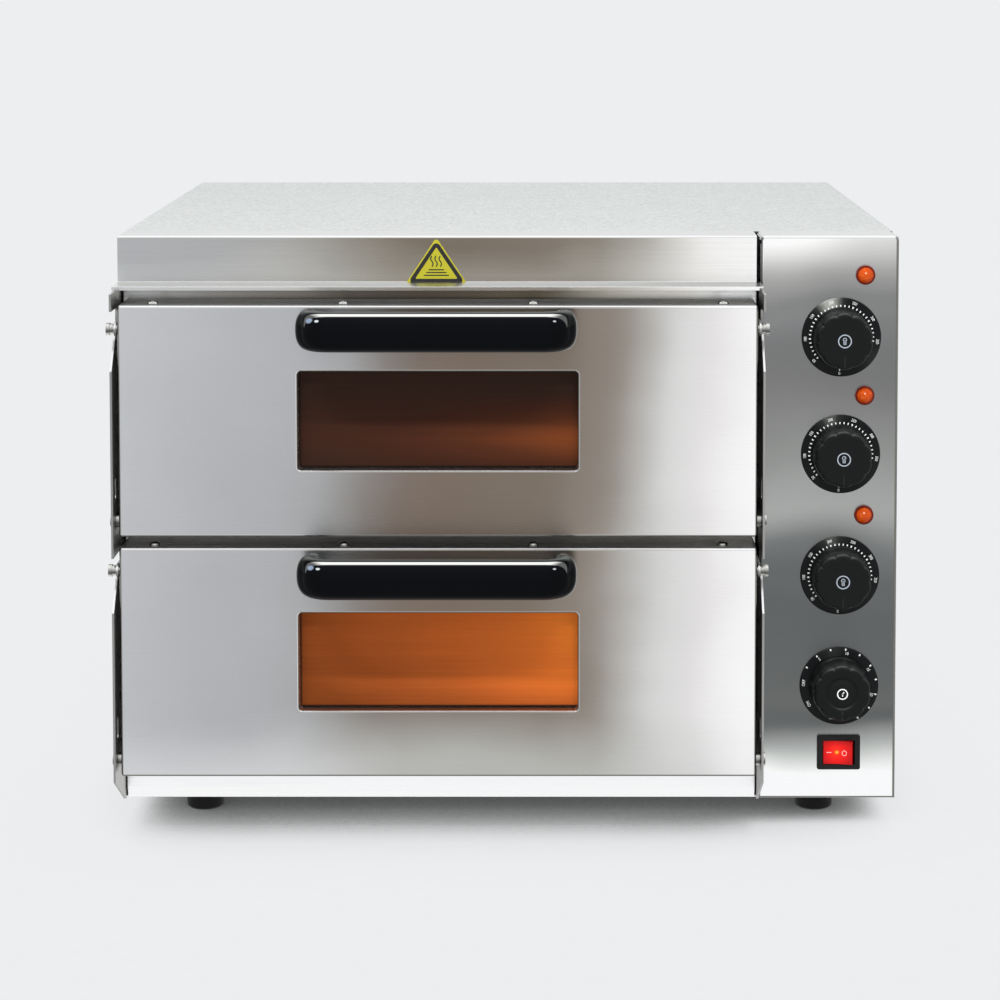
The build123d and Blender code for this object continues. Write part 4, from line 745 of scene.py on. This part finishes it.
# ------------------------------------------------------------------ knobs
def knob_mesh(name, node, z, timer=False):
    """Shallow-lobed grip on a thin skirt, turned about the dial axis."""
    NA = 160
    lobes = 10
    # (radius, y from the panel face, lobe depth)
    prof = [(3.0, -1.9, 0), (21.6, -1.9, 0), (22.0, -2.4, 0), (21.9, -4.4, 0.0), (21.3, -5.4, 0.15), (21.0, -7.0, 0.45),
            (20.9, -12.0, 0.55), (20.75, -17.0, 0.70), (20.6, -19.6, 0.95), (20.3, -21.0, 1.25), (19.7, -21.9, 1.45),
            (18.7, -22.5, 1.30), (17.5, -22.8, 0.75), (16.0, -22.9, 0.0)]
    if timer:
        prof += [(13.0, -22.6, 0), (11.6, -22.3, 0), (11.0, -21.5, 0), (10.4, -21.2, 0), (9.6, -21.4, 0), (7.8, -22.3, 0),
                 (5.6, -22.8, 0), (3.0, -22.95, 0), (0.0, -23.0, 0)]
    else:
        prof += [(14.0, -22.75, 0), (11.0, -22.5, 0), (8.0, -22.35, 0), (5.0, -22.3, 0), (0.0, -22.3, 0)]
    vs, fs = [], []
    for r, y, dep in prof[:-1]:
        for i in range(NA):
            a = 2 * math.pi * i / NA
            w = abs(math.cos(lobes * a / 2)) ** 0.55          # rounded lobes, sharp-ish valleys
            rr = r - dep * (1.0 - w)
            vs.append((KX + rr * math.sin(a) * MM, YF + y * MM, z + rr * math.cos(a) * MM))
    m = len(prof) - 1
    for j in range(m - 1):
        for i in range(NA):
            k = (i + 1) % NA
            fs.append((j * NA + i, j * NA + k, (j + 1) * NA + k, (j + 1) * NA + i))
    vs.append((KX, YF + prof[-1][1] * MM, z))
    c = len(vs) - 1
    for i in range(NA):
        k = (i + 1) % NA
        fs.append(((m - 1) * NA + i, (m - 1) * NA + k, c))
    # spindle stub behind the skirt
    base = len(vs)
    for y in (-1.9, 14.0):
        for i in range(40):
            a = 2 * math.pi * i / 40
            vs.append((KX + 3.0 * math.sin(a) * MM, YF + y * MM, z + 3.0 * math.cos(a) * MM))
    for i in range(40):
        k = (i + 1) % 40
        fs.append((base + i, base + 40 + i, base + 40 + k, base + k))
    fs.append(tuple(base + 40 + i for i in range(40)))
    body = node.replace("_knob", "_control")
    o = new_mesh(name, vs, fs, m_knob, body, True)
    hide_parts(node)
    pl = front(KX, z)
    y0 = -208 - (22.2 if timer else 22.25)
    y1 = y0 - (0.95 if timer else 0.22)
    R = Group()
    r = 3.9 if timer else 4.9
    R.ring(0, 0, r - 0.75, r, y0, y1, pl)
    # small generic thermometer / clock hand inside the ring
    if timer:
        R.bar(0, -1.6, 0, 0.2, 0.7, y0, y1, pl)
        R.bar(0, 0.0, 1.1, 1.5, 0.7, y0, y1, pl)
        R.disc(0, 0, 0.55, y0, y1, pl)
    else:
        R.ring(0, 1.1, 0.95, 1.5, y0, y1, pl, 24, -60, 240)
        R.bar(-0.8, 0.3, -0.8, -2.0, 0.45, y0, y1, pl)
        R.bar(0.8, 0.3, 0.8, -2.0, 0.45, y0, y1, pl)
        R.bar(0.0, 1.0, 0.0, -1.6, 0.5, y0, y1, pl)
        R.bar(-1.0, -2.2, 1.0, -2.2, 0.45, y0, y1, pl)
    R.make(name + "_mark", m_icon, body)
    # pointer: a thin near-black strip on the face, painted shade of the pointer groove
    P = Group()
    ys = -230.5
    if timer:
        P.bar(0, -19.2, 0, -11.8, 1.1, ys, -230.85, pl)
    else:
        P.bar(0, -19.0, 0, -11.0, 0.8, ys, -230.95, pl)
    P.make(name + "_pointer", m_groove_shade, body)
    return o


m_icon = plain("grey-blue print", (150, 158, 168), 0.45, speck=0.05, scale=900.0, bump=0.0, radius=0.0)
for node, z in (("upper_knob", DIAL_Z[0]), ("middle_knob", DIAL_Z[1]), ("lower_knob", DIAL_Z[2])):
    knob_mesh(node + "_grip", node, z)
m_icon = m_white
knob_mesh("timer_knob_grip", "timer_knob", TIMER_Z, True)



# ------------------------------------------------------------------ moulded bow handles
def handle_mesh(deck):
    node = f"{deck}_handle"
    lo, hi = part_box(node)
    cx, zc = (lo.x + hi.x) / 2, (lo.z + hi.z) / 2
    W = (hi.x - lo.x) / 2 / MM                      # half length
    H = 13.9                                        # half height of the grip
    T = 9.2                                         # half depth of the grip
    yb, yf = hi.y / MM, lo.y / MM                   # door face, front of the grip
    R = 15.0                                        # bend of the centre line
    px = W - T                                      # leg centre line
    yc = yf + T                                     # grip centre line
    path = []                                       # (x, y, tangent angle from +X toward -Y, share of the leg 0..1)
    NL, NB, NM = 8, 14, 26
    for i in range(NL):
        path.append((-px, yb + (yc + R - yb) * i / NL, -math.pi / 2, 1.0 - i / NL))
    for i in range(NB):
        a = math.pi / 2 * i / NB
        path.append((-px + R - R * math.cos(a), yc + R - R * math.sin(a), -math.pi / 2 + a, 0.0))
    half = [(x, y, t, k) for x, y, t, k in path]
    for i in range(NM + 1):
        path.append((-px + R + (2 * px - 2 * R) * i / NM, yc, 0.0, 0.0))
    path += [(-x, y, -t, k) for x, y, t, k in reversed(half)]
    NS = 48
    vs, fs = [], []
    for x, y, t, k in path:
        nx, ny = -math.sin(t), math.cos(t)          # sideways of the path, toward the inside of the bow
        hh = H - 5.4 * min(1.0, k * 1.25)
        tt = T - 2.2 * min(1.0, k * 1.25)
        for s_ in range(NS):
            a = 2 * math.pi * s_ / NS
            c, q = math.cos(a), math.sin(a)
            ex = 2.0 / 2.35
            u = math.copysign(abs(c) ** ex, c) * tt
            w = math.copysign(abs(q) ** ex, q) * hh
            vs.append((cx + (x + nx * u) * MM, (y + ny * u) * MM, zc + w * MM))
    m = len(path)
    for j in range(m - 1):
        for i in range(NS):
            k2 = (i + 1) % NS
            fs.append((j * NS + i, (j + 1) * NS + i, (j + 1) * NS + k2, j * NS + k2))
    fs.append(tuple(range(NS)))
    fs.append(tuple((m - 1) * NS + i for i in reversed(range(NS))))
    o = new_mesh(f"{deck}_grip", vs, fs, m_bakelite, f"{deck}_door", True)
    import bmesh
    bm = bmesh.new()
    bm.from_mesh(o.data)
    bmesh.ops.recalc_face_normals(bm, faces=bm.faces)
    bm.to_mesh(o.data)
    bm.free()
    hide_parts(node)


for d in DECKS:
    handle_mesh(d)

# ------------------------------------------------------------------ rocker marks, on the two wings
G = Group()
t = math.radians(-7.0)


def wing(u, v, h):
    """Point on the rocker face: u along the face, v up, h proud of it; the neutral face tilts with each wing."""
    ys = -4.5 - 1.1 * abs(u) / 10.4 - h
    x = u * math.cos(t) - ys * math.sin(t)
    y = u * math.sin(t) + ys * math.cos(t)
    return (KX + x * MM, YF + (2.5 + y) * MM, SWITCH_Z + v * MM)


def wing_slab(pts):
    n = len(pts)
    vs = [wing(u, v, -0.05) for u, v in pts] + [wing(u, v, 0.08) for u, v in pts]
    fs = [tuple(range(n, 2 * n)), tuple(reversed(range(n)))]
    fs += [(i, (i + 1) % n, n + (i + 1) % n, n + i) for i in range(n)]
    return vs, fs


G.add(*wing_slab([(-8.2, -0.25), (-4.6, -0.25), (-4.6, 0.25), (-8.2, 0.25)]))
NR = 28
for i in range(NR):
    a0, a1 = 2 * math.pi * i / NR, 2 * math.pi * (i + 1) / NR
    q = []
    for a, r in ((a0, 1.35), (a0, 1.75), (a1, 1.75), (a1, 1.35)):
        q.append((4.6 + r * math.cos(a), -0.3 + 1.15 * r * math.sin(a)))
    G.add(*wing_slab(q))
G.make("rocker_marks", plain("pale rocker print", (236, 190, 180), 0.4, speck=0.03, scale=600.0, bump=0.0, radius=0.0),
       "rocker_body")

# ------------------------------------------------------------------ hot-surface sign of our own: triangle, waves, plate
pl = front(-0.0515, 0.4095)


def tri(cx, cy, w, h, r, n=8):
    """Rounded triangle, point up, base centred on (cx, cy - h / 2)."""
    P = [(cx, cy + h / 2), (cx - w / 2, cy - h / 2), (cx + w / 2, cy - h / 2)]
    out = []
    for i in range(3):
        a, b, c = Vector(P[i - 1]), Vector(P[i]), Vector(P[(i + 1) % 3])
        d1, d2 = (a - b).normalized(), (c - b).normalized()
        half = math.acos(max(-1, min(1, d1.dot(d2)))) / 2
        cen = b + (d1 + d2).normalized() * (r / math.sin(half))
        t1, t2 = b + d1 * (r / math.tan(half)), b + d2 * (r / math.tan(half))
        a1 = math.atan2(t1.y - cen.y, t1.x - cen.x)
        a2 = math.atan2(t2.y - cen.y, t2.x - cen.x)
        dd = (a2 - a1 + math.pi) % (2 * math.pi) - math.pi
        out += [(cen.x + r * math.cos(a1 + dd * k / n), cen.y + r * math.sin(a1 + dd * k / n)) for k in range(n + 1)]
    return out


G = Group()
G.add(*slab(tri(0, 1.9, 46.0, 34.8, 1.9), -207.98, -208.14, pl))
G.make("hot_sign_ground", m_yellow, "oven_body")
G = Group()
o_, i_ = tri(0, 1.5, 42.4, 31.6, 2.9), tri(0, 0.9, 30.6, 22.8, 0.6)
n = len(o_)
vs = [pl(u, v, y) for y in (-208.10, -208.20) for q in (o_, i_) for u, v in q]
fs = []
for k in range(n):
    j = (k + 1) % n
    fs += [(2 * n + k, 2 * n + j, 3 * n + j, 3 * n + k), (k, n + k, n + j, j), (k, j, 2 * n + j, 2 * n + k),
           (n + k, 3 * n + k, 3 * n + j, n + j)]
G.add(vs, fs)
for cx in (-3.0, 0.0, 3.0):
    pts = []
    for k in range(17):
        s = k / 16
        pts.append((cx + 0.85 * math.sin(2 * math.pi * s) - 0.2, -1.7 + 7.6 * s))
    for a, b in zip(pts[:-1], pts[1:]):
        G.bar(a[0], a[1], b[0], b[1], 0.85, -208.10, -208.20, pl)
for v, w in ((-4.0, 11.0), (-6.0, 14.5), (-8.0, 18.0)):
    G.bar(-w / 2, v, w / 2, v, 0.85, -208.10, -208.20, pl)
G.make("hot_sign_marks", m_inkblack, "oven_body")

# a cover strip closes the seam between the two top flanges
lo_, hi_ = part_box("hood")
lo2, hi2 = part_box("control_panel")
vs = [(x, y, z) for x in (hi_.x - 0.0004, lo2.x + 0.0004) for y in (YF + 0.0012, YF + 0.026) for z in (hi_.z - 0.0030, hi_.z - 0.0012)]
new_mesh("top_seam_cover", vs, [(0, 1, 3, 2), (4, 6, 7, 5), (0, 4, 5, 1), (2, 3, 7, 6), (0, 2, 6, 4), (1, 5, 7, 3)], m_galv,
         "oven_body")

# ------------------------------------------------------------------ floor, studio
bpy.ops.mesh.primitive_plane_add(size=14.0, location=(0, 0, 0))
floor = bpy.context.object
floor.name = "floor"
F = Mat("studio floor")
ao = F.add("ShaderNodeAmbientOcclusion", samples=16)
ao.inputs["Distance"].default_value = 0.11
BG = lin((237, 238, 240))
shade = F.ramp(F.remap(ao.outputs["AO"], 0.0, 1.0, 0.0, 1.0), [
    (0.0, lin((44, 44, 44))), (0.14, lin((126, 127, 127))), (0.22, lin((178, 179, 179))), (0.30, lin((208, 209, 210))),
    (0.45, lin((226, 227, 229))), (0.70, lin((235, 236, 238))), (1.0, BG)])
lpf = F.add("ShaderNodeLightPath")
shade = F.mix(lpf.outputs["Is Camera Ray"], (0.93, 0.94, 0.95, 1.0), shade)
em = F.add("ShaderNodeEmission")
F.link(shade, em.inputs["Color"])
F.link(em.outputs[0], F.out.inputs["Surface"])
grain = F.noise((90.0, 90.0, 90.0), 1.0, 2.0, 0.5)
F.link(F.remap(grain, 0.3, 0.7, 0.995, 1.005), em.inputs["Strength"])
floor.data.materials.append(F.m)

w = bpy.data.worlds.new("studio") if sc.world is None else sc.world
sc.world = w
w.use_nodes = True
nt = w.node_tree
nt.nodes.clear()
wo = nt.nodes.new("ShaderNodeOutputWorld")
b1 = nt.nodes.new("ShaderNodeBackground")
b2 = nt.nodes.new("ShaderNodeBackground")
b1.inputs[0].default_value = BG
b1.inputs[1].default_value = 1.0
b2.inputs[0].default_value = (0.98, 0.99, 1.0, 1)
b2.inputs[1].default_value = 1.03
lp = nt.nodes.new("ShaderNodeLightPath")
mx = nt.nodes.new("ShaderNodeMixShader")
nt.links.new(lp.outputs["Is Camera Ray"], mx.inputs[0])
nt.links.new(b2.outputs[0], mx.inputs[1])
nt.links.new(b1.outputs[0], mx.inputs[2])
nt.links.new(mx.outputs[0], wo.inputs[0])


def area(name, loc, target, size, size_y, power, color=(1, 1, 1)):
    li = bpy.data.lights.new(name, "AREA")
    li.shape = "RECTANGLE"
    li.size = size
    li.size_y = size_y
    li.energy = power
    li.color = color
    o = bpy.data.objects.new(name, li)
    sc.collection.objects.link(o)
    o.location = loc
    d = Vector(target) - Vector(loc)
    o.rotation_euler = d.to_track_quat("-Z", "Y").to_euler()
    o.visible_glossy = False
    return o


area("strip above", (-0.05, -1.30, 1.45), (0, -0.25, 0.3), 1.3, 0.05, 26)
area("top soft", (0.0, -0.1, 2.2), (0, 0, 0.2), 1.6, 1.6, 5)

cam_d = bpy.data.cameras.new("camera")
cam = bpy.data.objects.new("camera", cam_d)
sc.collection.objects.link(cam)
cam_d.sensor_width = 36.0
cam_d.lens = 92.222
cam_d.shift_x = -0.04182
cam_d.shift_y = -0.37449
cam_d.clip_start = 0.05
cam.location = (0.02406, -2.03403, 0.62020)
cam.rotation_euler = (math.pi / 2 - 0.0608, 0.0, 0.0)
sc.camera = cam
# the lens shift belongs to this viewpoint only: from any other position it falls back to zero
for prop, value in (("shift_x", -0.04182), ("shift_y", -0.37449)):
    fc = cam_d.driver_add(prop)
    fc.driver.type = "SUM"
    var = fc.driver.variables.new()
    var.type = "TRANSFORMS"
    var.targets[0].id = cam
    var.targets[0].transform_type = "LOC_X"
    var.targets[0].transform_space = "WORLD_SPACE"
    for md in list(fc.modifiers):
        fc.modifiers.remove(md)
    for x, y in ((-10.0, 0.0), (0.0125, value), (0.0365, 0.0)):
        fc.keyframe_points.insert(x, y).interpolation = "CONSTANT"
    fc.extrapolation = "CONSTANT"
    fc.update()
